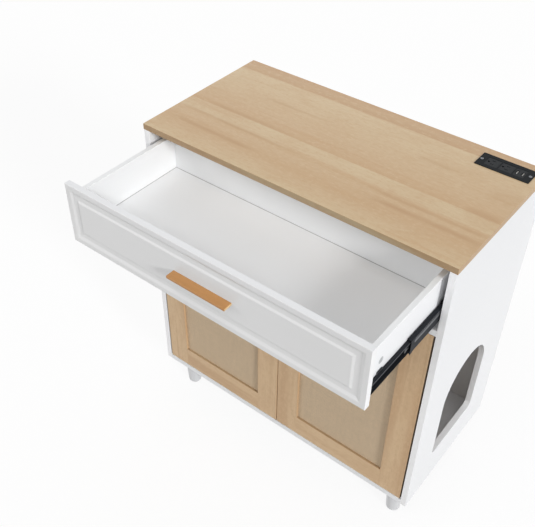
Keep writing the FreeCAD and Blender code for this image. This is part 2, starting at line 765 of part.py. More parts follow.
def strip_housing():
    """The flanged tub, with a window for each insert and a hole for the gland. Z = 0 is the top's face."""
    plate = new_body("strip_plate")
    outline = sketch_on(plate, "strip_outline", "XY_Plane")
    half_length, half_width = "dims.strip_length / 2", "dims.strip_width / 2"
    rectangle(outline, (f"-{half_length}", f"-{half_width}"), (half_length, half_width))
    tip = pad(plate, outline, "dims.strip_flange")
    round_edges(plate, tip, "dims.strip_corner", lambda edge: runs_along(edge, Z))
    tub = box(
        "strip_tub",
        (f"-{TUB_LENGTH} / 2", f"-{TUB_WIDTH} / 2", "-dims.tub_depth"),
        (TUB_LENGTH, TUB_WIDTH, "dims.tub_depth"),
    )
    hollow = box(
        "strip_hollow",
        (
            f"-{TUB_LENGTH} / 2 + dims.tub_wall",
            f"-{TUB_WIDTH} / 2 + dims.tub_wall",
            "-dims.tub_depth + dims.tub_wall",
        ),
        (
            f"{TUB_LENGTH} - 2 * dims.tub_wall",
            f"{TUB_WIDTH} - 2 * dims.tub_wall",
            "dims.tub_depth - dims.tub_wall",
        ),
    )
    tools = [hollow]
    half = "dims.outlet_size / 2"
    windows = [(x, "dims.outlet_size") for x in OUTLET_LOWS] + [(USB_LOW, "dims.usb_width")]
    for i, (x, length) in enumerate(windows):
        size = (length, "dims.outlet_size", "dims.tub_wall + dims.strip_flange")
        tools.append(box(f"strip_window_{i}", (x, f"-{half}", "-dims.tub_wall"), size))
    for i, sign in enumerate("-+"):
        x = f"0 {sign} (dims.strip_length / 2 - dims.strip_screw_inset)"
        tools.append(rod(f"strip_hole_{i}", "dims.screw_hole_radius", "dims.strip_flange", (x, "0", "0")))
    tools.append(
        rod(
            "gland_hole",
            "dims.gland_bore_radius + dims.tub_wall / 2 + dims.insert_clearance",
            "dims.tub_wall",
            ("0", "0", "-dims.tub_depth"),
        )
    )
    housing = without("strip_housing_cut", union("strip_shell", [plate, tub]), tools)
    keep(place(housing, STRIP_AT), "power_strip_housing")


def strip_inserts():
    """Two outlets, each with two blade slots and a ground hole, and a block with two USB ports."""
    top = "dims.strip_flange - dims.outlet_sink"
    inset = "dims.insert_clearance"
    side = f"dims.outlet_size - 2 * {inset}"
    outlets = []
    for i, x in enumerate(OUTLET_LOWS):
        at = (f"{x} + {inset}", f"-({side}) / 2", f"{top} - dims.outlet_depth")
        block = box(f"outlet_block_{i}", at, (side, side, "dims.outlet_depth"))
        centre = f"({x} + dims.outlet_size / 2)"
        tools = []
        for j, sign in enumerate("-+"):
            low_y = f"0 {sign} dims.blade_slot_spread / 2 - dims.blade_slot_width / 2"
            at = (f"{centre} - dims.blade_slot_length / 2", low_y, f"{top} - dims.slot_depth")
            size = ("dims.blade_slot_length", "dims.blade_slot_width", "dims.slot_depth")
            tools.append(box(f"blade_slot_{i}_{j}", at, size))
        at = (f"{centre} - dims.blade_slot_spread * 0.75", "0", top)
        tools.append(rod(f"ground_hole_{i}", "dims.ground_hole_radius", "dims.slot_depth", at, -Z))
        outlets.append(place(without(f"outlet_{i}", block, tools), STRIP_AT))
    group("power_strip_outlets", outlets)
    length = f"dims.usb_width - 2 * {inset}"
    at = (f"{USB_LOW} + {inset}", f"-({side}) / 2", f"{top} - dims.outlet_depth")
    block = box("usb_block", at, (length, side, "dims.outlet_depth"))
    tools = []
    base = f"{top} - dims.slot_depth"
    for j, sign in enumerate("-+"):
        centre = f"({USB_LOW} + dims.usb_width / 2 {sign} dims.usb_spread / 2)"
        at = (f"{centre} - dims.usb_port_width / 2", "-dims.usb_port_length / 2", base)
        port = box(f"usb_port_{j}", at, ("dims.usb_port_width", "dims.usb_port_length", "dims.slot_depth"))
        at = (f"{centre} - dims.usb_tongue_width / 2", "-dims.usb_tongue_length / 2", base)
        size = ("dims.usb_tongue_width", "dims.usb_tongue_length", "dims.slot_depth - dims.usb_tongue_drop")
        tools.append(without(f"usb_slot_{j}", port, [box(f"usb_tongue_{j}", at, size)]))
    keep(place(without("usb_cut", block, tools), STRIP_AT), "power_strip_usb_ports")


def strip_fittings():
    screws = []
    for i, x in enumerate(STRIP_SCREWS):
        at = (x, STRIP_Y, f"{TOP_FACE} + dims.strip_flange")
        screws.append(copy_of(strip_screw, f"strip_screw_{i}", at))
    group("power_strip_screws", screws)
    body = new_body("gland_body")
    sketch = sketch_on(body, "gland_outline", "XZ_Plane")
    neck = "dims.gland_bore_radius + dims.tub_wall / 2"
    polygon(
        sketch,
        [
            ("dims.gland_bore_radius", "dims.tub_wall"),
            (neck, "dims.tub_wall"),
            (neck, "0"),
            ("dims.gland_radius", "0"),
            ("dims.gland_tip_radius", "-dims.gland_length"),
            ("dims.gland_bore_radius", "-dims.gland_length"),
        ],
    )
    turned(body, sketch)
    place(body, (STRIP_X, STRIP_Y, f"{TOP_FACE} - dims.tub_depth"))
    keep(body, "power_strip_cord_gland")


# ---------------------------------------------------------------- slides
def channel(name, side, near, far, height, lip, rear_y, length):
    """A pressed steel channel, open towards far. near and far are distances from the side panel's face.

    Each flange ends in a lip of the given width, or has none where lip is None.
    """
    inward = f"({far} > {near} ? dims.steel : -dims.steel)"
    flange = [(near, "0"), (far, "0")]
    if lip:
        flange += [(far, lip), (f"{far} - {inward}", lip), (f"{far} - {inward}", "dims.steel")]
    else:
        flange.append((far, "dims.steel"))
    flange.append((f"{near} + {inward}", "dims.steel"))
    corners = [(away, f"-({height} / 2 - {drop})") for away, drop in flange]
    corners += [(away, f"{height} / 2 - {drop}") for away, drop in reversed(flange)]
    body = new_body(name)
    sketch = sketch_on(body, f"{name}_outline", "XZ_Plane")
    polygon(sketch, [(mirrored(side, f"{SIDE_INNER} - ({away})"), level) for away, level in corners])
    pad(body, sketch, length)
    return place(body, ("0", rear_y, SLIDE_Z))


OUTER_LENGTH = "(dims.slide_length - dims.outer_setback)"
SLIDE_REAR = f"({SLIDE_CLOSED_FRONT} + dims.slide_length)"
MIDDLE_NEAR = "(dims.steel + dims.web_gap)"
MIDDLE_REAR = f"({SLIDE_REAR} - dims.drawer_opening / 2)"
MIDDLE_FRONT = f"({MIDDLE_REAR} - dims.middle_member_length)"
INNER_REAR = f"({SLIDE_REAR} - dims.drawer_opening)"
INNER_FRONT = f"({INNER_REAR} - dims.slide_length)"
LEVER_PIVOT_Y = f"({INNER_FRONT} + dims.lever_pivot_setback)"


def outer_member(side):
    """The slide's outer member, screwed to the side panel."""
    body = channel(
        f"outer_member_{side}_body",
        side,
        "0",
        "dims.outer_member_depth",
        "dims.outer_member_height",
        "dims.outer_lip",
        SLIDE_REAR,
        OUTER_LENGTH,
    )
    holes = []
    inward = X * -SIGNS[side]
    for i, setback in enumerate(SLIDE_SCREWS):
        at = (mirrored(side, SIDE_INNER), f"{SLIDE_CLOSED_FRONT} + {setback}", SLIDE_Z)
        holes.append(rod(f"outer_hole_{side}_{i}", "dims.screw_hole_radius", "dims.steel", at, inward))
    keep(without(f"outer_member_{side}", body, holes), f"slide_outer_member_{side}")


def middle_member(side):
    """The slide's middle member, with a hooked tab under its front end."""
    body = channel(
        f"middle_member_{side}_body",
        side,
        MIDDLE_NEAR,
        f"{MIDDLE_NEAR} + dims.middle_member_depth",
        "dims.middle_member_height",
        "dims.middle_lip",
        MIDDLE_REAR,
        "dims.middle_member_length",
    )
    far = f"{SIDE_INNER} - {MIDDLE_NEAR}"
    tab_base = f"{SLIDE_Z} - dims.middle_member_height / 2 - dims.hook_tab_drop"
    tab = box(
        f"hook_tab_{side}",
        (low(side, f"{far} - dims.steel", far), MIDDLE_FRONT, tab_base),
        ("dims.steel", "dims.hook_tab_length", "dims.hook_tab_drop + dims.steel"),
    )
    keep(union(f"middle_member_{side}", [body, tab]), f"slide_middle_member_{side}")


def inner_member(side):
    """The slide's inner member, screwed to the drawer, with its stop tab and the pin of its release lever."""
    body = channel(
        f"inner_member_{side}_body",
        side,
        "dims.slide_gap",
        "(dims.slide_gap - dims.inner_member_depth)",
        "dims.inner_member_height",
        None,
        INNER_REAR,
        "dims.slide_length",
    )
    tab = box(
        f"stop_tab_{side}",
        (
            low(side, DRAWER_OUTER, f"{DRAWER_OUTER} + dims.steel"),
            f"{INNER_FRONT} + dims.stop_tab_setback",
            f"{SLIDE_Z} + dims.inner_member_height / 2 - dims.steel",
        ),
        ("dims.steel", "dims.stop_tab_length", "dims.stop_tab_rise + dims.steel"),
    )
    pin = rod(
        f"lever_pin_{side}",
        "dims.lever_pin_radius",
        "dims.slide_gap - dims.lever_offset + dims.lever_pin_spare",
        (mirrored(side, DRAWER_OUTER), LEVER_PIVOT_Y, SLIDE_Z),
        X * SIGNS[side],
    )
    holes = []
    outward = X * SIGNS[side]
    for i, setback in enumerate(SLIDE_SCREWS):
        at = (mirrored(side, DRAWER_OUTER), f"{INNER_FRONT} + {setback}", SLIDE_Z)
        holes.append(rod(f"inner_hole_{side}_{i}", "dims.screw_hole_radius", "dims.steel", at, outward))
    whole = union(f"inner_member_{side}_whole", [body, tab, pin])
    keep(without(f"inner_member_{side}", whole, holes), f"slide_inner_member_{side}")


def release_lever(side):
    """The thin lever in the inner member that frees the drawer; it turns on the pin."""
    body = new_body(f"release_lever_{side}_body")
    sketch = sketch_on(body, f"release_lever_{side}_outline", "YZ_Plane")
    half = "dims.lever_height / 2"
    thumb = "dims.lever_thumb / 2"
    tip = "-dims.lever_length"
    polygon(
        sketch,
        [
            (half, f"-{half}"),
            (half, half),
            (f"{tip} + dims.lever_thumb", half + " * 0.7"),
            (f"{tip} + dims.lever_thumb / 2", thumb),
            (tip, thumb),
            (tip, f"-{thumb}"),
            (f"{tip} + dims.lever_thumb / 2", f"-{thumb}"),
            (f"{tip} + dims.lever_thumb", f"-{half} * 0.7"),
        ],
    )
    circle(sketch, ("0", "0"), "dims.lever_pin_radius + dims.running_clearance", "pivot")
    pad(body, sketch, "dims.lever_thickness")
    near = f"{SIDE_INNER} - dims.lever_offset"
    place(body, (low(side, f"{near} - dims.lever_thickness", near), LEVER_PIVOT_Y, SLIDE_Z))
    keep(body, f"release_lever_{side}")


def slide_screws():
    """The flat-headed screws in the outer members and the round-headed ones in the inner members."""
    outer, inner = [], []
    for side, sign in SIGNS.items():
        for i, setback in enumerate(SLIDE_SCREWS):
            turn = FreeCAD.Rotation(Z, X * -sign)
            at = (mirrored(side, f"{SIDE_INNER} - dims.steel"), f"{SLIDE_CLOSED_FRONT} + {setback}", SLIDE_Z)
            outer.append(copy_of(flat_screw, f"outer_screw_{side}_{i}", at, turn))
            turn = FreeCAD.Rotation(Z, X * sign)
            at = (mirrored(side, f"{DRAWER_OUTER} + dims.steel"), f"{INNER_FRONT} + {setback}", SLIDE_Z)
            inner.append(copy_of(pan_screw, f"inner_screw_{side}_{i}", at, turn))
    group("slide_cabinet_screws", outer)
    group("slide_drawer_screws", inner)


# ---------------------------------------------------------------- drawer
BORDER = "dims.front_border"
COVE = f"({BORDER} + dims.cove_run)"
FIELD_FOOT = f"({COVE} + dims.cove_floor)"
FIELD_TOP = f"({FIELD_FOOT} + dims.field_rise_run)"
GROOVE_Z = f"({DRAWER_BASE} + dims.drawer_floor_lift - dims.groove_clearance)"
GROOVE_HEIGHT = "(dims.drawer_bottom_thickness + 2 * dims.groove_clearance)"
PULL_SCREWS = ("-dims.pull_screw_spread / 2", "dims.pull_screw_spread / 2")


def inset_rectangle(sketch, inset):
    """The drawer front's outline, drawn in by inset on all four sides."""
    across = f"{FRONT_HALF_WIDTH} - {inset}"
    return rectangle(sketch, (f"-({across})", inset), (across, f"{FRONT_HEIGHT} - {inset}"))


def drawer_front():
    """The front: a board with a sunk border that slopes in from a flat rim to a raised field."""
    body = new_body("drawer_front_body")
    outline = inset_rectangle(sketch_on(body, "front_outline", "XZ_Plane"), "0")
    tip = pad(body, outline, "dims.board")
    face = -sheet.board
    round_edges(body, tip, "dims.front_edge_round", lambda edge: abs(edge.CenterOfMass.y - face) < 0.01)
    floor = "dims.board - dims.cove_depth"
    sink = body.newObject("PartDesign::SubtractiveLoft", "cove")
    sink.Profile = inset_rectangle(sketch_on(body, "cove_rim", "XZ_Plane", "dims.board"), BORDER)
    sink.Sections = [inset_rectangle(sketch_on(body, "cove_foot", "XZ_Plane", floor), COVE)]
    sink.Ruled = True
    rise = body.newObject("PartDesign::AdditiveLoft", "field")
    rise.Profile = inset_rectangle(sketch_on(body, "field_foot", "XZ_Plane", floor), FIELD_FOOT)
    top = inset_rectangle(sketch_on(body, "field_top", "XZ_Plane", f"{floor} + dims.field_rise"), FIELD_TOP)
    rise.Sections = [top]
    rise.Ruled = True
    place(body, ("0", DRAWER_BACK_OF_FRONT, FRONT_BASE))
    tools = list(drawer.holes["drawer_front"])
    half = f"({DRAWER_INNER} + dims.drawer_groove_depth)"
    at = (f"-{half}", f"{DRAWER_BACK_OF_FRONT} - dims.drawer_groove_depth", GROOVE_Z)
    tools.append(box("front_groove", at, (f"2 * {half}", "dims.drawer_groove_depth", GROOVE_HEIGHT)))
    for i, x in enumerate(PULL_SCREWS):
        at = (x, DRAWER_BACK_OF_FRONT, PULL_Z)
        tools.append(rod(f"front_pull_hole_{i}", "dims.screw_hole_radius", "dims.board", at, -Y))
    keep(without("drawer_front_cut", body, tools), "drawer_front")


def drawer_side(side):
    base = box(
        f"drawer_side_{side}_board",
        (low(side, DRAWER_INNER, DRAWER_OUTER), DRAWER_BACK_OF_FRONT, DRAWER_BASE),
        ("dims.drawer_board", "dims.drawer_side_length", "dims.drawer_side_height"),
    )
    tools = list(drawer.holes[f"drawer_side_{side}"])
    groove = low(side, DRAWER_INNER, f"{DRAWER_INNER} + dims.drawer_groove_depth")
    at = (groove, DRAWER_BACK_OF_FRONT, GROOVE_Z)
    size = ("dims.drawer_groove_depth", "dims.drawer_side_length", GROOVE_HEIGHT)
    tools.append(box(f"drawer_side_{side}_groove", at, size))
    for i, setback in enumerate(SLIDE_SCREWS):
        at = (mirrored(side, DRAWER_OUTER), f"{INNER_FRONT} + {setback}", SLIDE_Z)
        inward = X * -SIGNS[side]
        pilot = rod(f"drawer_pilot_{side}_{i}", "dims.pilot_radius", "dims.drawer_screw_length", at, inward)
        tools.append(pilot)
    keep(without(f"drawer_side_{side}_cut", base, tools), f"drawer_side_{side}")


def drawer_back():
    front = f"{DRAWER_REAR} - dims.drawer_board"
    base = box(
        "drawer_back_board",
        (f"-{DRAWER_INNER}", front, DRAWER_BASE),
        (f"2 * {DRAWER_INNER}", "dims.drawer_board", "dims.drawer_side_height"),
    )
    tools = list(drawer.holes["drawer_back"])
    at = (f"-{DRAWER_INNER}", front, GROOVE_Z)
    size = (f"2 * {DRAWER_INNER}", "dims.drawer_groove_depth", GROOVE_HEIGHT)
    tools.append(box("drawer_back_groove", at, size))
    keep(without("drawer_back_cut", base, tools), "drawer_back")


def drawer_bottom():
    """The drawer's floor, standing in the grooves all round."""
    reach = "(dims.drawer_groove_depth - dims.panel_edge_gap)"
    half = f"({DRAWER_INNER} + {reach})"
    front = f"({DRAWER_BACK_OF_FRONT} - {reach})"
    rear = f"({DRAWER_REAR} - dims.drawer_board + {reach})"
    at = (f"-{half}", front, f"{DRAWER_BASE} + dims.drawer_floor_lift")
    size = (f"2 * {half}", f"{rear} - {front}", "dims.drawer_bottom_thickness")
    keep(box("drawer_floor_board", at, size), "drawer_bottom")


# ---------------------------------------------------------------- pulls
def pull(label, at, turn):
    """A wooden lip pull with its back edge on the plane Y = 0, and two bores for its screws."""
    body = new_body(f"{label}_body")
    sketch = sketch_on(body, f"{label}_outline", "XY_Plane")
    rectangle(sketch, ("-dims.pull_length / 2", "-dims.pull_reach"), ("dims.pull_length / 2", "0"))
    tip = pad(body, sketch, "dims.pull_thickness")
    round_edges(body, tip, "dims.pull_round", lambda edge: edge.CenterOfMass.y < -0.01)
    bores = []
    depth = "dims.pull_screw_bite + dims.pilot_spare + dims.cove_depth - dims.field_rise"
    for i, x in enumerate(PULL_SCREWS):
        start = (x, "0", "dims.pull_thickness / 2")
        bores.append(rod(f"{label}_bore_{i}", "dims.pilot_radius", depth, start, -Y))
    keep(place(without(f"{label}_cut", body, bores), at, turn), label)


def pull_screws(label, places):
    """Screws that come through from behind a board into a pull."""
    turn = FreeCAD.Rotation(Z, Y)
    group(label, [copy_of(pull_screw, f"{label}_{i}", at, turn) for i, at in enumerate(places)])


def drawer_pull():
    field = f"{DRAWER_FACE} + dims.cove_depth - dims.field_rise"
    pull("drawer_pull", ("0", field, f"{PULL_Z} - dims.pull_thickness / 2"), None)
    pull_screws("drawer_pull_screws", [(x, DRAWER_BACK_OF_FRONT, PULL_Z) for x in PULL_SCREWS])


# ---------------------------------------------------------------- doors
PANEL_FRONT = f"({FRONT_Y} + dims.panel_recess)"
PANEL_GROOVE_WIDTH = "(dims.panel_thickness + 2 * dims.panel_clearance)"
STILE_LOW = {"meeting": DOOR_MEETING, "hinge": f"({DOOR_OUTER} - dims.stile_width)"}
RAIL_LENGTH = f"({DOOR_OUTER} - {DOOR_MEETING} - 2 * dims.stile_width)"
RAIL_START = f"({DOOR_MEETING} + dims.stile_width)"
DOOR_PULL_Z = f"({DOOR_TOP} - dims.door_pull_drop)"
DOOR_PULL_X = f"({DOOR_MEETING} + dims.stile_width / 2)"


def door_stile(side, kind):
    """An upright of the door's frame, grooved for the panel; pivots are in one, the pull on the other."""
    name = f"door_{side}_{kind}_stile"
    inner = STILE_LOW[kind]
    outer = f"({inner} + dims.stile_width)"
    height = f"{DOOR_TOP} - {DOOR_BASE}"
    size = ("dims.stile_width", "dims.board", height)
    base = box(f"{name}_board", (low(side, inner, outer), FRONT_Y, DOOR_BASE), size)
    groove_inner = inner if kind == "hinge" else f"({outer} - dims.panel_groove_depth)"
    groove_outer = f"({groove_inner} + dims.panel_groove_depth)"
    groove_base = f"{DOOR_BASE} + dims.rail_width - dims.panel_groove_depth"
    groove_height = f"{height} - 2 * (dims.rail_width - dims.panel_groove_depth)"
    at = (low(side, groove_inner, groove_outer), f"{PANEL_FRONT} - dims.panel_clearance", groove_base)
    tools = [box(f"{name}_groove", at, ("dims.panel_groove_depth", PANEL_GROOVE_WIDTH, groove_height))]
    if kind == "hinge":
        radius = "dims.pin_radius + dims.thread_clearance"
        for end, z, towards in (("base", DOOR_BASE, Z), ("top", DOOR_TOP, -Z)):
            at = (mirrored(side, PIVOT_X), PIVOT_Y, z)
            tools.append(rod(f"{name}_{end}_bore", radius, "dims.pin_in_door", at, towards))
    else:
        for i, offset in enumerate(PULL_SCREWS):
            at = (mirrored(side, DOOR_PULL_X), FRONT_Y, f"{DOOR_PULL_Z} + {offset}")
            tools.append(rod(f"{name}_pull_hole_{i}", "dims.screw_hole_radius", "dims.board", at, Y))
    keep(without(f"{name}_cut", base, tools), name)


def door_rail(side, kind):
    """A cross rail of the door's frame, between the stiles."""
    name = f"door_{side}_{kind}_rail"
    x = low(side, RAIL_START, f"({RAIL_START} + {RAIL_LENGTH})")
    z = DOOR_BASE if kind == "bottom" else f"({DOOR_TOP} - dims.rail_width)"
    base = box(f"{name}_board", (x, FRONT_Y, z), (RAIL_LENGTH, "dims.board", "dims.rail_width"))
    groove_z = f"{z} + dims.rail_width - dims.panel_groove_depth" if kind == "bottom" else z
    at = (x, f"{PANEL_FRONT} - dims.panel_clearance", groove_z)
    groove = box(f"{name}_groove", at, (RAIL_LENGTH, PANEL_GROOVE_WIDTH, "dims.panel_groove_depth"))
    keep(without(f"{name}_cut", base, [groove]), name)


def door_panel(side):
    """The woven panel, standing in the grooves of the frame."""
    reach = "(dims.panel_groove_depth - dims.panel_edge_gap)"
    inner = f"({RAIL_START} - {reach})"
    length = f"({RAIL_LENGTH} + 2 * {reach})"
    z = f"({DOOR_BASE} + dims.rail_width - dims.panel_groove_depth)"
    height = f"{DOOR_TOP} - dims.rail_width + {reach} - {z}"
    at = (low(side, inner, f"({inner} + {length})"), PANEL_FRONT, z)
    size = (length, "dims.panel_thickness", height)
    keep(box(f"door_{side}_panel_sheet", at, size), f"door_{side}_woven_panel")


def door_pins(side):
    """The lower pin carries the door on its collar; the upper one only guides it."""
    x = mirrored(side, PIVOT_X)
    body = new_body(f"door_{side}_lower_pin")
    sketch = sketch_on(body, f"door_{side}_lower_pin_outline", "XZ_Plane")
    collar_base = "-dims.door_bottom_gap + dims.bush_flange + dims.pin_collar_gap"
    tip = "-dims.door_bottom_gap - dims.pin_in_bush"
    corners = [
        ("0", tip),
        ("dims.pin_radius", tip),
        ("dims.pin_radius", collar_base),
        ("dims.pin_collar_radius", collar_base),
        ("dims.pin_collar_radius", "0"),
        ("dims.pin_radius", "0"),
        ("dims.pin_radius", "dims.pin_in_door"),
        ("0", "dims.pin_in_door"),
    ]
    polygon(sketch, corners)
    turned(body, sketch)
    place(body, (x, PIVOT_Y, DOOR_BASE))
    length = "dims.pin_in_door + dims.door_top_gap + dims.pin_in_bush"
    at = (x, PIVOT_Y, f"{DOOR_TOP} - dims.pin_in_door")
    upper = rod(f"door_{side}_upper_pin", "dims.pin_radius", length, at)
    group(f"door_{side}_pivot_pins", [body, upper])


def bush_pattern():
    """A flanged bush: its flange stands on the plane Z = 0, its barrel goes down."""
    body = new_body("bush_body")
    sketch = sketch_on(body, "bush_outline", "XZ_Plane")
    bore = "dims.pin_radius + dims.running_clearance"
    corners = [
        (bore, "-dims.bush_depth"),
        ("dims.bush_radius", "-dims.bush_depth"),
        ("dims.bush_radius", "0"),
        ("dims.bush_flange_radius", "0"),
        ("dims.bush_flange_radius", "dims.bush_flange"),
        (bore, "dims.bush_flange"),
    ]
    polygon(sketch, corners)
    turned(body, sketch)
    return body


def door_fittings():
    bush = bush_pattern()
    bushes = []
    for i, (x, y) in enumerate(PIVOTS):
        bushes.append(copy_of(bush, f"floor_bush_{i}", (x, y, FLOOR_TOP)))
        bushes.append(copy_of(bush, f"shelf_bush_{i}", (x, y, SHELF_BASE), FreeCAD.Rotation(X, 180)))
    group("door_pivot_bushes", bushes)
    magnet_front = f"({DOOR_BACK} + dims.strike_thickness + dims.strike_gap)"
    catch_front = f"({magnet_front} + dims.magnet_proud)"
    base = box(
        "catch_block",
        ("-dims.catch_length / 2", catch_front, f"{SHELF_BASE} - dims.catch_height"),
        ("dims.catch_length", "dims.catch_depth", "dims.catch_height"),
    )
    slot_z = f"{SHELF_BASE} - dims.catch_height / 2 - dims.magnet_height / 2"
    magnets, slots = [], []
    for i, sign in enumerate("-+"):
        x = f"0 {sign} dims.magnet_spread / 2 - dims.magnet_length / 2"
        size = ("dims.magnet_length", "dims.magnet_depth", "dims.magnet_height")
        magnets.append(box(f"magnet_{i}", (x, magnet_front, slot_z), size))
        slots.append(box(f"magnet_slot_{i}", (x, magnet_front, slot_z), size))
    keep(without("catch_housing_cut", base, slots), "door_catch_housing")
    group("door_catch_magnets", magnets)


def strike_plate(side):
    """The steel plate on the back of the meeting stile that the magnet holds."""
    centre = "dims.magnet_spread / 2"
    inner = f"({centre} - dims.strike_length / 2 + dims.strike_gap)"
    outer = f"({inner} + dims.strike_length)"
    z = f"{SHELF_BASE} - dims.catch_height / 2 - dims.strike_height / 2"
    at = (low(side, inner, outer), DOOR_BACK, z)
    size = ("dims.strike_length", "dims.strike_thickness", "dims.strike_height")
    keep(box(f"strike_{side}", at, size), f"door_{side}_strike_plate")


def door(side):
    for kind in ("hinge", "meeting"):
        door_stile(side, kind)
    for kind in ("top", "bottom"):
        door_rail(side, kind)
    door_panel(side)
    upright = FreeCAD.Rotation(Y, 90)
    x = f"{mirrored(side, DOOR_PULL_X)} - dims.pull_thickness / 2"
    pull(f"door_{side}_pull", (x, FRONT_Y, DOOR_PULL_Z), upright)
    places = [(mirrored(side, DOOR_PULL_X), DOOR_BACK, f"{DOOR_PULL_Z} + {offset}") for offset in PULL_SCREWS]
    pull_screws(f"door_{side}_pull_screws", places)
    strike_plate(side)
    door_pins(side)


# ---------------------------------------------------------------- the whole cabinet
bottom_panel()
drawer_shelf()
top_panel()
back_panel()
carcass.finish()
for name, (x, y) in LEGS.items():
    leg(name, x, y)
leg_fittings()
strip_housing()
strip_inserts()
strip_fittings()
door_fittings()
for side in SIGNS:
    side_panel(side)
    outer_member(side)
    middle_member(side)
    inner_member(side)
    release_lever(side)
    drawer_side(side)
    door(side)
slide_screws()
drawer_front()
drawer_back()
drawer_bottom()
drawer_pull()
drawer.finish()
doc.recompute()

for thing in doc.Objects:
    assert "Invalid" not in thing.State and "Error" not in thing.State, f"{thing.Label}: {thing.State}"
os.makedirs("parts", exist_ok=True)
for piece in pieces:
    shape = piece.Shape
    assert not shape.isNull() and shape.isValid() and shape.Solids, piece.Label
for piece in pieces:
    piece.Shape.exportStep(f"parts/{piece.Label}.step")
print(f"{len(pieces)} sub-parts, {sum(len(piece.Shape.Solids) for piece in pieces)} solids")
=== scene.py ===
"""Cat litter box cabinet: its boards, doors, drawer and fittings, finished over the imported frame."""

import json
import math

import bpy
from mathutils import Matrix, Vector

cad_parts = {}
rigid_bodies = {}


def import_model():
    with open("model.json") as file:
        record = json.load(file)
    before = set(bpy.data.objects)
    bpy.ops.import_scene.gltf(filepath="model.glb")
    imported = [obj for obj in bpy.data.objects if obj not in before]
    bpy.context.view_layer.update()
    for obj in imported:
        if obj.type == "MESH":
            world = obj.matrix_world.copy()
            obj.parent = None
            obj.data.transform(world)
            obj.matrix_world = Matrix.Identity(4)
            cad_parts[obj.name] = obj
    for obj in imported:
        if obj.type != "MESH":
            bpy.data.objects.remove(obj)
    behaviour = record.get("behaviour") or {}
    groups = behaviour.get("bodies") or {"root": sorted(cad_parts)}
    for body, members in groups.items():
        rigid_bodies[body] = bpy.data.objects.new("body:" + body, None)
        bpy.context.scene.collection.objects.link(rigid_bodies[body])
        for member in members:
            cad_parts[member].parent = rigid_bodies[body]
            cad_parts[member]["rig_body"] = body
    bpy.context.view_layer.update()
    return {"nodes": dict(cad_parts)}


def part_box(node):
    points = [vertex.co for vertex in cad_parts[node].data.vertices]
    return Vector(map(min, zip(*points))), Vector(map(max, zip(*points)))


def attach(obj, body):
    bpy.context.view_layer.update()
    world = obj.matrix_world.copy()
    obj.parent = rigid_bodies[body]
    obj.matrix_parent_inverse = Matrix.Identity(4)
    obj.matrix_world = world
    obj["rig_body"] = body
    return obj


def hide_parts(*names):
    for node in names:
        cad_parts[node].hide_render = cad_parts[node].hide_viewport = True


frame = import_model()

bl_info = {
    "name": "Litter box cabinet",
    "version": (1, 0, 0),
    "blender": (4, 5, 0),
    "location": "3D View > Sidebar > Cabinet",
    "description": "Builds the boards, doors, drawer and fittings of a litter box cabinet",
    "category": "Add Mesh",
}

MM = 0.001
SIDES = {"left": -1, "right": 1}


# ---------------------------------------------------------------- colour and shader sums
def screen(red, green, blue):
    """A colour picked on the screen, 0 to 255, as the light it stands for."""
    light = []
    for part in (red, green, blue):
        share = part / 255
        light.append(share / 12.92 if share <= 0.04045 else ((share + 0.055) / 1.055) ** 2.4)
    return tuple(light)


class Value:
    """One output of a node. Sums and products on it add their own Math nodes."""

    def __init__(self, finish, socket):
        self.finish = finish
        self.socket = socket

    def math(self, operation, *terms):
        return self.finish.add("ShaderNodeMath", {"operation": operation}, dict(enumerate(terms)))

    def __add__(self, other):
        return self.math("ADD", self, other)

    def __sub__(self, other):
        return self.math("SUBTRACT", self, other)

    def __rsub__(self, other):
        return self.math("SUBTRACT", other, self)

    def __mul__(self, other):
        return self.math("MULTIPLY", self, other)

    def __truediv__(self, other):
        return self.math("DIVIDE", self, other)

    def __pow__(self, other):
        return self.math("POWER", self, other)

    def __abs__(self):
        return self.math("ABSOLUTE", self)

    __radd__ = __add__
    __rmul__ = __mul__

    def between(self, low, high):
        """0 below low, 1 above high and a soft step from one to the other."""
        return self.finish.add(
            "ShaderNodeMapRange",
            {"interpolation_type": "SMOOTHSTEP"},
            {"Value": self, "From Min": low, "From Max": high},
        )

    def out(self, name):
        """Another output of the same node."""
        return Value(self.finish, self.socket.node.outputs[name])


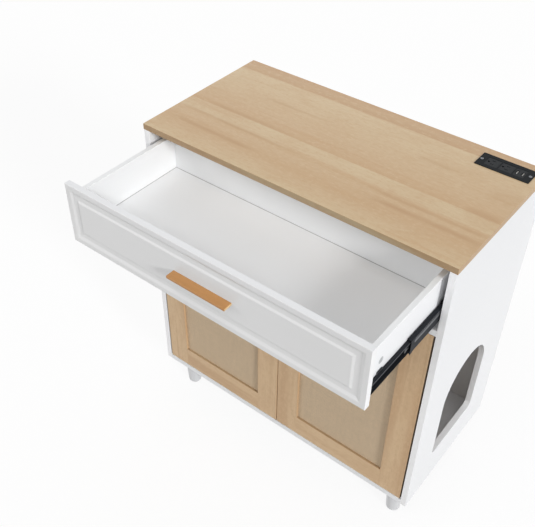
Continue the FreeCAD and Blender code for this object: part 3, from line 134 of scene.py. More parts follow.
class Finish:
    """A material being made: its nodes, its shader and the pattern sources that finishes share."""

    def __init__(self, name, **fixed):
        self.material = bpy.data.materials.new(name)
        self.material.use_nodes = True
        self.tree = self.material.node_tree
        self.shader = self.tree.nodes["Principled BSDF"]
        for socket, value in fixed.items():
            self.shader.inputs[socket.replace("_", " ")].default_value = value
        self.spot = self.add("ShaderNodeTexCoord", out="Object")

    def add(self, kind, settings=None, sockets=None, out=0):
        """Adds a node: its settings first, then the value or link of each socket."""
        node = self.tree.nodes.new(kind)
        for name, value in (settings or {}).items():
            if name == "stops":
                while len(node.color_ramp.elements) < len(value):
                    node.color_ramp.elements.new(0.5)
                for stop, (place, colour) in zip(node.color_ramp.elements, value):
                    stop.position = place
                    stop.color = (*colour, 1)
            else:
                setattr(node, name, value)
        for name, value in (sockets or {}).items():
            if isinstance(value, Value):
                self.tree.links.new(value.socket, node.inputs[name])
            elif isinstance(value, tuple) and node.inputs[name].type == "RGBA":
                node.inputs[name].default_value = (*value[:3], 1)
            else:
                node.inputs[name].default_value = value
        return Value(self, node.outputs[out])

    def axis(self, name):
        """One coordinate of the spot, in metres."""
        return self.add("ShaderNodeSeparateXYZ", sockets={0: self.spot}, out=name)

    def stretched(self, scale, shift=(0, 0, 0)):
        """The spot drawn out by a scale for each axis, then shifted."""
        return self.add(
            "ShaderNodeVectorMath",
            {"operation": "MULTIPLY_ADD"},
            {0: self.spot, 1: scale, 2: shift},
        )

    def noise(self, scale, detail=2.0, roughness=0.5, distortion=0.0, shift=(0, 0, 0)):
        """Cloudy noise from 0 to 1 whose grains are 1/scale metres, alike or for each axis."""
        if not isinstance(scale, tuple):
            scale = (scale,) * 3
        sockets = {
            "Vector": self.stretched(scale, shift),
            "Scale": 1.0,
            "Detail": detail,
            "Roughness": roughness,
            "Distortion": distortion,
        }
        return self.add("ShaderNodeTexNoise", sockets=sockets)

    def mix(self, share, first, second):
        """A colour between two others."""
        return self.add("ShaderNodeMix", {"data_type": "RGBA"}, {0: share, 6: first, 7: second}, out=2)

    def ramp(self, value, *stops):
        """A colour read off a row of colours."""
        return self.add("ShaderNodeValToRGB", {"stops": stops}, {"Fac": value})

    def bump(self, height, depth, strength=1.0):
        """Raises the surface by height times depth in metres."""
        sockets = {"Height": height, "Distance": depth, "Strength": strength}
        self.paint("Normal", self.add("ShaderNodeBump", sockets=sockets))

    def paint(self, socket, value):
        """Feeds one of the shader's varying sockets."""
        self.tree.links.new(value.socket, self.shader.inputs[socket])


def shade(colour, factor):
    """A colour made darker or lighter."""
    return tuple(min(1.0, part * factor) for part in colour[:3])


def blend(first, second, share):
    """The colour that lies a share of the way from one to another."""
    return tuple(a + (b - a) * share for a, b in zip(first[:3], second[:3]))


# ---------------------------------------------------------------- finishes
def along(grain, length, width):
    """A scale that is small along the grain and large across it."""
    return tuple(length if axis == grain else width for axis in "XYZ")


def wood(name, grain, pale, dark, shift=(0, 0, 0), staves=(), dashes=()):
    """Pale planed wood: slow bands, soft darker streaks, mottling, fine fibres and short pores.

    Staves are the tones of boards glued side by side, as (place across the grain, colour). Dashes
    are the longest dark streaks, as (start, end, place across the grain, half width, strength),
    with the first four in metres.
    """
    made = Finish(name, IOR=1.46)
    bands, streaks, streak_share = (7.0, 44.0, 0.5) if staves else (19.0, 62.0, 0.8)
    slow = made.noise(along(grain, 1.1, bands), 2.0, 0.5, 0.4, shift)
    cloud = made.noise(along(grain, 9.0, 26.0), 4.0, 0.62, 0.6, shift)
    streak = made.noise(along(grain, 1.5, streaks), 3.0, 0.55, 0.45, shift)
    fibre = made.noise(along(grain, 22.0, 950.0), 2.0, 0.6, 0.0, shift)
    pore = made.noise(along(grain, 70.0, 1500.0), 1.0, 0.5, 0.0, shift).between(0.68, 0.76)
    if staves:
        first, width = staves[0][0], staves[-1][0] - staves[0][0]
        across = (made.axis("Y") - first) / width + (slow - 0.5) * 0.006
        base = made.ramp(across, *(((place - first) / width, colour) for place, colour in staves))
    else:
        base = made.mix(slow.between(0.4, 0.6), pale, blend(pale, dark, 0.8))
    body = made.mix(cloud.between(0.4, 0.7) * 0.55, base, blend(pale, dark, 0.66))
    body = made.mix(streak.between(0.52, 0.76) * streak_share, body, dark)
    mottle = made.noise(along(grain, 75.0, 150.0), 3.0, 0.65, 0.3, shift)
    body = made.mix(mottle.between(0.5, 0.68) * 0.34, body, blend(pale, dark, 0.95))
    body = made.mix((1.0 - mottle).between(0.5, 0.68) * 0.3, body, shade(pale, 1.05))
    wander = made.axis("Y") + (made.noise(along(grain, 3.0, 6.0), 2.0, 0.5) - 0.5) * 0.012
    for start, end, place, half, strength in dashes:
        length = end - start
        off_middle = abs(made.axis("X") - (start + end) / 2)
        lengthwise = 1.0 - off_middle.between(length * 0.25, length * 0.56)
        crosswise = 1.0 - abs(wander - place).between(0.0, half * 1.9)
        ragged = cloud.between(0.25, 0.6) * 0.5 + 0.5
        body = made.mix(lengthwise * crosswise * ragged * strength, body, shade(dark, 0.93))
    body = made.mix((fibre - 0.5) * 0.42 + 0.1, body, shade(dark, 0.74))
    body = made.mix(pore * 0.28, body, shade(dark, 0.5))
    made.paint("Base Color", body)
    made.paint("Roughness", (fibre - 0.5) * 0.18 + cloud * 0.1 + 0.37)
    made.bump(fibre * 0.6 + streak * 0.3 - pore * 1.2, 0.00012, 0.5)
    return made.material


def end_wood(name, pale, dark):
    """Sawn end of a wooden bar: fine dots of cut fibres."""
    made = Finish(name, IOR=1.46)
    dots = made.noise(1100.0, 2.0, 0.6)
    rings = made.noise((60.0, 240.0, 240.0), 2.0, 0.5)
    made.paint("Base Color", made.mix(dots.between(0.4, 0.7) * 0.5 + rings * 0.3, pale, dark))
    made.paint("Roughness", dots * 0.15 + 0.5)
    made.bump(dots, 0.0001, 0.5)
    return made.material


def lacquer(name, colour, roughness=0.34, peel=1.0):
    """Sprayed satin lacquer: a faint orange peel, a slow change of tone and fine grit."""
    made = Finish(name, IOR=1.5, Coat_Roughness=0.12)
    tone = made.noise(3.0, 2.0, 0.5)
    grit = made.noise(900.0, 2.0, 0.5)
    skin = made.noise(240.0, 1.0, 0.4)
    body = made.mix(tone.between(0.3, 0.7) * 0.6, colour, shade(colour, 0.975))
    body = made.mix(grit.between(0.62, 0.8) * 0.35, body, shade(colour, 0.93))
    made.paint("Base Color", body)
    made.paint("Roughness", tone * 0.1 + skin * 0.06 + (roughness - 0.08))
    made.paint("Coat Weight", skin * 0.1 + 0.08)
    made.bump(skin + grit * 0.25, 0.00006 * peel, 0.6)
    return made.material


def melamine(name, colour, walls=None):
    """White board film: dry and slightly pebbled, with a painted shadow line where it meets the walls.

    Walls are the inner faces of the side walls and of the rear wall, in metres.
    """
    made = Finish(name, IOR=1.48)
    tone = made.noise(2.2, 2.0, 0.5)
    pebble = made.noise(700.0, 3.0, 0.6)
    body = made.mix(tone.between(0.3, 0.7) * 0.5, colour, shade(colour, 0.98))
    body = made.mix(pebble.between(0.6, 0.75) * 0.25, body, shade(colour, 0.93))
    if walls:
        # Painted shadow: a darker band about 1.6 mm wide along the foot of the side and rear walls.
        start, end = 2.2 * MM, 0.6 * MM
        side = abs(made.axis("X")).between(walls[0] - start, walls[0] - end)
        rear = made.axis("Y").between(walls[1] - start, walls[1] - end)
        body = made.mix(side.math("MAXIMUM", side, rear) * 0.6, body, shade(colour, 0.25))
    made.paint("Base Color", body)
    made.paint("Roughness", pebble * 0.16 + 0.42)
    made.bump(pebble, 0.00008, 0.5)
    return made.material


def weave(name, pale, dark, pitch):
    """Plain weave of flat strands: each passes over and under its neighbours in turn."""
    made = Finish(name, IOR=1.45)
    turns = math.pi / pitch
    across = made.axis("X") * turns
    upward = made.axis("Z") * turns
    warp_side = abs(across.math("SINE", across))
    weft_side = abs(upward.math("SINE", upward))
    over = (across.math("COSINE", across) * upward.math("COSINE", upward)).between(-0.12, 0.12)
    warp_crown = (1.0 - warp_side ** 3.0) * (weft_side * 0.45 + 0.55)
    weft_crown = (1.0 - weft_side ** 3.0) * (warp_side * 0.45 + 0.55)
    height = over * warp_crown + (1.0 - over) * weft_crown
    warp_tone = made.noise((1 / pitch, 1.0, 14.0), 1.0, 0.5)
    weft_tone = made.noise((14.0, 1.0, 1 / pitch), 1.0, 0.5, 0.0, (7.0, 0.0, 3.0))
    tone = over * warp_tone + (1.0 - over) * weft_tone
    hair = made.noise(1800.0, 2.0, 0.6)
    slub = made.noise(230.0, 4.0, 0.75)
    body = made.mix(tone.between(0.3, 0.72), pale, dark)
    body = made.mix(slub.between(0.4, 0.62) * 0.4, body, shade(dark, 0.82))
    # Painted shade: darker where the strands dip down between and under one another.
    body = made.mix(1.0 - height.between(0.0, 0.62), body, shade(dark, 0.5))
    body = made.mix(hair.between(0.45, 0.75) * 0.35, body, shade(pale, 1.12))
    made.paint("Base Color", body)
    made.paint("Roughness", hair * 0.2 + 0.68)
    made.bump(height + hair * 0.25, 0.00045, 0.9)
    return made.material


def enamel(name, colour):
    """Black coated steel: smooth paint with a fine grain, thinner and lighter in scuffed spots."""
    made = Finish(name, Specular_IOR_Level=0.06)
    grain = made.noise(1300.0, 2.0, 0.5)
    rub = made.noise((90.0, 25.0, 90.0), 3.0, 0.6)
    made.paint("Base Color", made.mix(rub.between(0.55, 0.8) * 0.3, colour, shade(colour, 1.8)))
    made.paint("Metallic", rub.between(0.6, 0.8) * 0.08)
    made.paint("Roughness", grain * 0.12 + 0.44)
    made.bump(grain, 0.00005, 0.4)
    return made.material


def plastic(name, colour, roughness=0.42, grit=1.0, gloss=0.5):
    """Moulded plastic with a spark-eroded grain."""
    made = Finish(name, Specular_IOR_Level=gloss)
    spark = made.noise(1500.0, 3.0, 0.65)
    flow = made.noise(35.0, 2.0, 0.5)
    made.paint("Base Color", made.mix(flow * 0.5, colour, shade(colour, 0.88)))
    made.paint("Roughness", spark * 0.16 + flow * 0.05 + (roughness - 0.1))
    made.bump(spark, 0.00006 * grit, 0.6)
    return made.material


def metal(name, colour, roughness=0.28):
    """Zinc plate: a bright grey with slow clouds and fine rub marks."""
    made = Finish(name, IOR=1.5)
    cloud = made.noise(160.0, 3.0, 0.6)
    mark = made.noise((2500.0, 300.0, 2500.0), 2.0, 0.6)
    made.paint("Base Color", made.mix(cloud.between(0.3, 0.75), colour, shade(colour, 0.78)))
    made.paint("Metallic", cloud * 0.08 + 0.9)
    made.paint("Roughness", mark * 0.14 + cloud * 0.08 + (roughness - 0.08))
    made.bump(mark, 0.00003, 0.5)
    return made.material


def felt(name, colour):
    """Pressed felt: matted short hairs."""
    made = Finish(name, IOR=1.4)
    hair = made.noise(1400.0, 4.0, 0.7, 1.5)
    made.paint("Base Color", made.mix(hair.between(0.35, 0.7), shade(colour, 0.7), colour))
    made.paint("Roughness", hair * 0.08 + 0.88)
    made.bump(hair, 0.0004, 0.8)
    return made.material


# ---------------------------------------------------------------- modelling
def only(piece):
    """Leaves one object selected, active and in object mode."""
    active = bpy.context.view_layer.objects.active
    if active and active.mode != "OBJECT":
        bpy.ops.object.mode_set(mode="OBJECT")
    bpy.ops.object.select_all(action="DESELECT")
    piece.select_set(True)
    bpy.context.view_layer.objects.active = piece


def settle(piece, name):
    """Names a new object and puts its place into its mesh."""
    only(piece)
    bpy.ops.object.transform_apply(location=True, rotation=True, scale=True)
    piece.name = name
    piece.data.name = name
    return piece


def block(name, low, high):
    """A box between two corners, to be shaped further."""
    bpy.ops.object.select_all(action="DESELECT")
    low, high = Vector(low), Vector(high)
    bpy.ops.mesh.primitive_cube_add(size=1, location=(low + high) / 2, scale=high - low)
    return settle(bpy.context.object, name)


def disc(name, centre, radius, sides):
    """A filled flat circle, the start of a turned piece."""
    bpy.ops.object.select_all(action="DESELECT")
    bpy.ops.mesh.primitive_circle_add(vertices=sides, radius=radius, fill_type="NGON", location=centre)
    return settle(bpy.context.object, name)


def choose(piece, kind, test):
    """Goes into edit mode with only the faces or edges that pass a test selected."""
    only(piece)
    bpy.ops.object.mode_set(mode="EDIT")
    bpy.ops.mesh.select_mode(type=kind)
    bpy.ops.mesh.select_all(action="DESELECT")
    bpy.ops.object.mode_set(mode="OBJECT")
    for item in piece.data.polygons if kind == "FACE" else piece.data.edges:
        item.select = bool(test(item))
    bpy.ops.object.mode_set(mode="EDIT")


def middle(piece, edge):
    """The middle of an edge."""
    first, second = (piece.data.vertices[i].co for i in edge.vertices)
    return (first + second) / 2


def soften(piece, width, steps=3, angle=30):
    """Rounds a piece's sharp edges over, then shades it smooth between them."""
    only(piece)
    if width:
        rounded = piece.modifiers.new("rounded_edges", "BEVEL")
        rounded.width = width
        rounded.segments = steps
        rounded.limit_method = "ANGLE"
        rounded.angle_limit = math.radians(angle)
        rounded.use_clamp_overlap = False
        bpy.ops.object.modifier_apply(modifier=rounded.name)
    bpy.ops.object.shade_smooth_by_angle(angle=math.radians(angle))
    flat = piece.modifiers.new("flat_faces", "WEIGHTED_NORMAL")
    flat.keep_sharp = True
    flat.weight = 100
    bpy.ops.object.modifier_apply(modifier=flat.name)
    return piece


def copy_of(node, name):
    """A CAD piece's mesh as one closed skin of flat faces, ready to be finished."""
    mesh = frame["nodes"][node].data.copy()
    mesh.materials.clear()
    piece = bpy.data.objects.new(name, mesh)
    bpy.context.scene.collection.objects.link(piece)
    only(piece)
    if mesh.has_custom_normals:
        bpy.ops.mesh.customdata_custom_splitnormals_clear()
    bpy.ops.object.mode_set(mode="EDIT")
    bpy.ops.mesh.select_all(action="SELECT")
    bpy.ops.mesh.remove_doubles(threshold=1e-5)
    bpy.ops.mesh.dissolve_limited(angle_limit=math.radians(0.6))
    bpy.ops.object.mode_set(mode="OBJECT")
    mesh.name = name
    return piece


def body_of(node):
    """The body that a CAD node rides on."""
    return frame["nodes"][node]["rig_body"]


def stand_in(piece, *nodes):
    """Makes a piece stand for CAD nodes and ride where they ride."""
    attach(piece, body_of(nodes[0]))
    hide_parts(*nodes)
    return piece


def dress(node, material):
    """Gives a CAD node that keeps its shape its material."""
    mesh = frame["nodes"][node].data
    for i in range(len(mesh.materials)):
        mesh.materials[i] = material


def give(piece, *materials):
    """Sets a piece's materials, the first on every face."""
    piece.data.materials.clear()
    for material in materials:
        piece.data.materials.append(material)
    for face in piece.data.polygons:
        face.material_index = 0


def cover(piece, index, test):
    """Lays another of a piece's materials on the faces that pass a test."""
    for face in piece.data.polygons:
        if test(face):
            face.material_index = index


def eased(node, width, material):
    """A CAD piece with its sharp edges rounded over."""
    piece = soften(copy_of(node, f"{node}_eased"), width)
    give(piece, material)
    return stand_in(piece, node)


def slope(run, depth, steps):
    """Insets that lead from one level to another, steepest in the middle, as (run, depth) pairs."""

    def share(i):
        return 0.5 * i / steps + 0.25 - 0.25 * math.cos(math.pi * i / steps)

    return [(run / steps, depth * (share(i + 1) - share(i))) for i in range(steps)]


# ---------------------------------------------------------------- what a user may change
class CabinetSizes(bpy.types.PropertyGroup):
    """Sizes that the looks take beyond the CAD's own."""

    board_edge: bpy.props.FloatProperty(
        name="Board edge",
        description="Radius of the rounded edges of the boards",
        default=0.9 * MM,
        min=0,
        unit="LENGTH",
    )
    frame_edge: bpy.props.FloatProperty(
        name="Door frame edge",
        description="Radius of the rounded edges of the door frames",
        default=0.7 * MM,
        min=0,
        unit="LENGTH",
    )
    weave_pitch: bpy.props.FloatProperty(
        name="Weave pitch",
        description="Distance between neighbouring strands of the door panels",
        default=2.6 * MM,
        min=0.5 * MM,
        unit="LENGTH",
    )
    pull_edge: bpy.props.FloatProperty(
        name="Pull edge",
        description="Radius of the rounded front and ends of the wooden pulls",
        default=1.6 * MM,
        min=0,
        unit="LENGTH",
    )


def colour_of(label, description, light):
    """A colour that the sidebar shows."""
    return bpy.props.FloatVectorProperty(
        name=label, description=description, subtype="COLOR", size=3, min=0, max=1, default=light
    )


class CabinetColours(bpy.types.PropertyGroup):
    """Colours of the cabinet's finishes."""

    top_pale: colour_of("Top, pale", "Lightest wood of the top", screen(211, 189, 152))
    top_dark: colour_of("Top, dark", "Darkest streaks of the top", screen(194, 156, 115))
    frame_pale: colour_of("Door frame, pale", "Lightest wood of the doors", screen(221, 190, 150))
    frame_dark: colour_of("Door frame, dark", "Darkest streaks of the doors", screen(199, 162, 122))
    pull_wood: colour_of("Pulls", "Face of the wooden pulls", screen(199, 144, 86))
    pull_end: colour_of("Pull ends", "Cut ends of the wooden pulls", screen(226, 196, 150))
    strand: colour_of("Weave", "Strands of the door panels", screen(239, 213, 179))
    white: colour_of("White", "Lacquer of the boards", screen(241, 242, 244))
    inner_white: colour_of("Inner white", "Film on the drawer and back boards", screen(242, 243, 244))
    black: colour_of("Black steel", "Coating of the drawer slides", screen(40, 42, 46))
    strip: colour_of("Power strip", "Plastic of the power strip", screen(37, 39, 41))
    steel: colour_of("Zinc", "Screws, cams and pins", screen(196, 199, 203))


def settings():
    """The sizes and the colours that the operators read."""
    return bpy.context.scene.cabinet_sizes, bpy.context.scene.cabinet_colours


def built(name, make):
    """A material by name, made when it is first asked for."""
    return bpy.data.materials.get(name) or make()


def white_lacquer():
    return built("satin_white_lacquer", lambda: lacquer("satin_white_lacquer", settings()[1].white[:]))


# Painted light: a whiter copy of the board lacquer that lifts the shaded board edges.
def painted_light_edge_lacquer():
    return built("painted_light_edge_white_lacquer", lambda: lacquer("painted_light_edge_white_lacquer", screen(253, 253, 254)))


def white_film():
    return built("white_board_film", lambda: melamine("white_board_film", settings()[1].inner_white[:]))


def zinc():
    return built("zinc_plate", lambda: metal("zinc_plate", settings()[1].steel[:]))


# ---------------------------------------------------------------- operators
class CABINET_OT_top_board(bpy.types.Operator):
    """Top board of glued pale staves, with its banded edges"""

    bl_idname = "cabinet.top_board"
    bl_label = "Top board"

    def execute(self, context):
        sizes, colours = settings()
        pale, dark = colours.top_pale[:], colours.top_dark[:]
        tones = (
            (-0.200, 0.10),
            (-0.165, 0.40),
            (-0.130, 0.70),
            (-0.100, 0.45),
            (-0.083, 0.62),
            (-0.075, 0.18),
            (-0.036, 0.05),
            (-0.034, 0.85),
            (-0.010, 0.58),
            (0.030, 0.45),
            (0.090, 0.22),
            (0.154, 0.08),
            (0.158, 0.95),
            (0.180, 0.75),
            (0.200, 1.05),
        )
        rear, rear_shade = 155 * MM, 0.95
        staves = []
        for place, share in tones:
            tone = blend(pale, dark, share)
            staves.append((place, shade(tone, rear_shade if place > rear else 1)))
        dashes = (
            (-0.36, -0.10, -0.029, 0.005, 0.85),
            (-0.41, -0.04, -0.079, 0.004, 0.80),
            (-0.38, -0.11, -0.128, 0.006, 0.90),
            (0.12, 0.42, -0.087, 0.004, 0.75),
            (0.14, 0.42, -0.114, 0.007, 0.95),
            (0.32, 0.40, -0.026, 0.009, 0.70),
            (-0.26, -0.08, 0.068, 0.004, 0.50),
            (0.15, 0.25, 0.072, 0.007, 0.50),
            (0.33, 0.41, 0.050, 0.030, 0.35),
        )
        face = wood("top_wood", "X", pale, dark, (0, 0, 0), staves, dashes)
        long_band = wood("top_band_long", "X", shade(pale, 0.74), shade(dark, 0.74), (3, 1, 2))
        short_band = wood("top_band_short", "Y", shade(pale, 0.92), shade(dark, 0.92), (5, 2, 1))
        top = eased("top_panel", sizes.board_edge, face)
        give(top, face, long_band, short_band)
        near_front, near_end = 190 * MM, 390 * MM
        cover(top, 1, lambda f: abs(f.normal.y) > 0.8 and abs(f.center.y) > near_front)
        cover(top, 2, lambda f: abs(f.normal.x) > 0.8 and abs(f.center.x) > near_end)
        return {"FINISHED"}


class CABINET_OT_carcass(bpy.types.Operator):
    """Sides, bottom, drawer shelf and back of the cabinet"""

    bl_idname = "cabinet.carcass"
    bl_label = "Carcass boards"

    def execute(self, context):
        sizes, _ = settings()
        inner_face = 384 * MM
        for side in SIDES:
            panel = eased(f"side_panel_{side}", sizes.board_edge, white_lacquer())
            give(panel, white_lacquer(), painted_light_edge_lacquer())
            # Painted light: the side panels' edges and the faces of the arch cut-out get the whiter
            # lacquer.
            cover(panel, 1, lambda f: abs(f.normal.x) < 0.5 and abs(f.center.x) > inner_face)
        eased("bottom_panel", sizes.board_edge * 0.8, white_lacquer())
        eased("drawer_shelf", sizes.board_edge * 0.8, white_lacquer())
        eased("back_panel", sizes.board_edge * 0.5, white_film())
        return {"FINISHED"}


class CABINET_OT_legs(bpy.types.Operator):
    """Four turned legs with their felt glides and bolts"""

    bl_idname = "cabinet.legs"
    bl_label = "Legs"

    def execute(self, context):
        _, colours = settings()
        # Painted shade: the legs get the board white made darker.
        paint = lacquer("leg_white_lacquer_painted_shade", shade(colours.white, 0.81), 0.3, 1.4)
        low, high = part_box("leg_front_left")
        centre = (low + high) / 2
        foot, top, rise = 18 * MM, (high.x - low.x) / 2, high.z - low.z
        height, radius = 0.0, foot - 1.6 * MM
        leg = disc("turned_leg", (centre.x, centre.y, low.z), radius, 72)
        profile = [(0.4 * MM, foot - 0.8 * MM), (0.9 * MM, foot - 0.25 * MM), (1.6 * MM, foot)]
        for share in (0.12, 0.25, 0.4, 0.55, 0.7, 0.85, 0.985):
            profile.append((rise * share, foot + (top - foot) * share))
        profile += [(rise - 0.7 * MM, top), (rise - 0.2 * MM, top - 0.25 * MM), (rise, top - 0.8 * MM)]
        choose(leg, "FACE", lambda f: True)
        for level, ring in profile:
            bpy.ops.mesh.extrude_region_move(TRANSFORM_OT_translate={"value": (0, 0, level - height)})
            bpy.ops.transform.resize(value=(ring / radius, ring / radius, 1))
            height, radius = level, ring
        bpy.ops.mesh.select_all(action="SELECT")
        bpy.ops.mesh.normals_make_consistent(inside=False)
        soften(leg, 0)
        give(leg, paint)
        for name in ("leg_front_right", "leg_rear_left", "leg_rear_right"):
            turned = leg.copy()
            turned.data = leg.data.copy()
            bpy.context.scene.collection.objects.link(turned)
            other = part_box(name)[0]
            turned.data.transform(Matrix.Translation((other.x - low.x, other.y - low.y, 0)))
            turned.name = turned.data.name = f"{name}_turned"
            stand_in(turned, name)
        leg.name = leg.data.name = "leg_front_left_turned"
        stand_in(leg, "leg_front_left")
        eased("leg_glides", 0.4 * MM, felt("glide_felt", screen(150, 146, 140)))
        dress("leg_hanger_bolts", zinc())
        dress("leg_insert_nuts", zinc())
        return {"FINISHED"}


class CABINET_OT_door_frames(bpy.types.Operator):
    """Stiles and rails of both doors, each with the grain along its length"""

    bl_idname = "cabinet.door_frames"
    bl_label = "Door frames"

    def execute(self, context):
        sizes, colours = settings()
        pale, dark = colours.frame_pale[:], colours.frame_dark[:]
        upright = wood("door_wood_upright", "Z", pale, dark, (1.7, 0.4, 2.1))
        level = wood("door_wood_level", "X", pale, dark, (4.2, 1.9, 0.3))
        # Painted shade: a darker copy of the frame wood for the rails' upward faces.
        painted_shade_ledge = wood("door_wood_ledge_painted_shade", "X", shade(pale, 0.72), shade(dark, 0.72), (2.2, 0.9, 5.3))
        # Painted shade: a much darker copy of the frame wood for the hinge stiles' outer edges, in the
        # gap beside the carcass.
        edge = wood("door_wood_edge_painted_shade", "Z", shade(pale, 0.3), shade(dark, 0.3), (0.9, 3.1, 1.4))
        for side, sign in SIDES.items():
            stile = eased(f"door_{side}_hinge_stile", sizes.frame_edge, upright)
            give(stile, upright, edge)
            # Painted shade on the hinge stile's outer edge.
            cover(stile, 1, lambda f: f.normal.x * sign > 0.7)
            eased(f"door_{side}_meeting_stile", sizes.frame_edge, upright)
            for part in ("top_rail", "bottom_rail"):
                rail = eased(f"door_{side}_{part}", sizes.frame_edge * 0.5, level)
                give(rail, level, painted_shade_ledge)
                # Painted shade on the upward faces of each rail.
                cover(rail, 1, lambda f: f.normal.z > 0.7)
        return {"FINISHED"}


class CABINET_OT_woven_panels(bpy.types.Operator):
    """Woven panels of both doors"""

    bl_idname = "cabinet.woven_panels"
    bl_label = "Woven panels"

    def execute(self, context):
        sizes, colours = settings()
        strand = colours.strand[:]
        strands = weave("plain_weave", strand, shade(strand, 0.84), sizes.weave_pitch)
        for side in SIDES:
            eased(f"door_{side}_woven_panel", 0.5 * MM, strands)
        return {"FINISHED"}


class CABINET_OT_pulls(bpy.types.Operator):
    """Wooden pulls of the drawer and the doors"""

    bl_idname = "cabinet.pulls"
    bl_label = "Pulls"

    def execute(self, context):
        sizes, colours = settings()
        face, end = colours.pull_wood[:], colours.pull_end[:]
        for node, grain in (("drawer_pull", "X"), ("door_left_pull", "Z"), ("door_right_pull", "Z")):
            low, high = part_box(node)
            pull = block(f"{node}_bar", low, high)
            choose(pull, "EDGE", lambda e: middle(pull, e).y < high.y - 1e-5)
            bpy.ops.mesh.bevel(offset=sizes.pull_edge, segments=5, profile=0.5)
            bpy.ops.object.mode_set(mode="OBJECT")
            soften(pull, 0, angle=35)
            bar, cut = f"pull_wood_{grain}", f"pull_end_{grain}"
            bar = built(bar, lambda: wood(bar, grain, face, shade(face, 0.9)))
            cut = built(cut, lambda: end_wood(cut, end, shade(end, 0.82)))
            give(pull, bar, cut)
            axis = "XYZ".index(grain)
            cover(pull, 1, lambda f: abs(f.normal[axis]) > 0.93)
            # Kept from colouring the white front round it.
            pull.visible_diffuse = False
            stand_in(pull, node)
        return {"FINISHED"}


class CABINET_OT_drawer_front(bpy.types.Operator):
    """Drawer front with its routed border and raised field"""

    bl_idname = "cabinet.drawer_front"
    bl_label = "Drawer front"

    def execute(self, context):
        low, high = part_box("drawer_front")
        front = block("drawer_front_routed", low, high)
        edge = 1.5 * MM
        choose(front, "EDGE", lambda e: middle(front, e).y < low.y + 1e-5)
        bpy.ops.mesh.bevel(offset=edge, segments=5, profile=0.5)
        choose(front, "FACE", lambda f: f.normal.y < -0.99)
        rim, floor = 11.0 * MM, 10.0 * MM
        cove = slope(10.0 * MM, -3.6 * MM, 10)
        field = slope(6.5 * MM, 3.2 * MM, 6)
        for run, depth in ((rim - edge, 0.0), *cove, (floor, 0.0), *field):
            bpy.ops.mesh.inset(thickness=run, depth=depth, use_even_offset=True)
        bpy.ops.object.mode_set(mode="OBJECT")
        choose(front, "EDGE", lambda e: middle(front, e).y > high.y - 1e-5)
        bpy.ops.mesh.bevel(offset=0.6 * MM, segments=3, profile=0.5)
        bpy.ops.object.mode_set(mode="OBJECT")
        soften(front, 0, angle=20)
        # Painted light and shade: copies of one white lacquer, greyer on the face and whiter on the
        # ends and along the top edge.
        face = lacquer("front_white_lacquer_painted_shade", screen(233, 233, 233))
        give(front, face, painted_light_edge_lacquer(), lacquer("rim_white_lacquer_painted_light", screen(238, 239, 241)))
        # Painted light on the ends and along the top edge.
        cover(front, 1, lambda f: abs(f.normal.x) > 0.6)
        cover(front, 2, lambda f: f.normal.z > 0.9 and f.center.z > high.z - 1.0 * MM)
        stand_in(front, "drawer_front")
        return {"FINISHED"}


class CABINET_OT_drawer_box(bpy.types.Operator):
    """Sides, back and bottom of the drawer"""

    bl_idname = "cabinet.drawer_box"
    bl_label = "Drawer box"

    def execute(self, context):
        sizes, _ = settings()
        # Painted light: the drawer sides' outward faces get a whiter film than their inner faces.
        bright = melamine("drawer_outer_film_painted_light", screen(251, 252, 254))
        for side, sign in SIDES.items():
            wall = eased(f"drawer_side_{side}", sizes.board_edge * 0.8, white_film())
            give(wall, white_film(), bright)
            cover(wall, 1, lambda f: f.normal.x * sign > 0.3)
        eased("drawer_back", sizes.board_edge * 0.8, white_film())
        low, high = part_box("drawer_back")
        # The floor film carries the painted shadow line along the walls.
        floor = melamine("drawer_floor_film", settings()[1].inner_white[:], (high.x, low.y))
        eased("drawer_bottom", 0.3 * MM, floor)
        return {"FINISHED"}


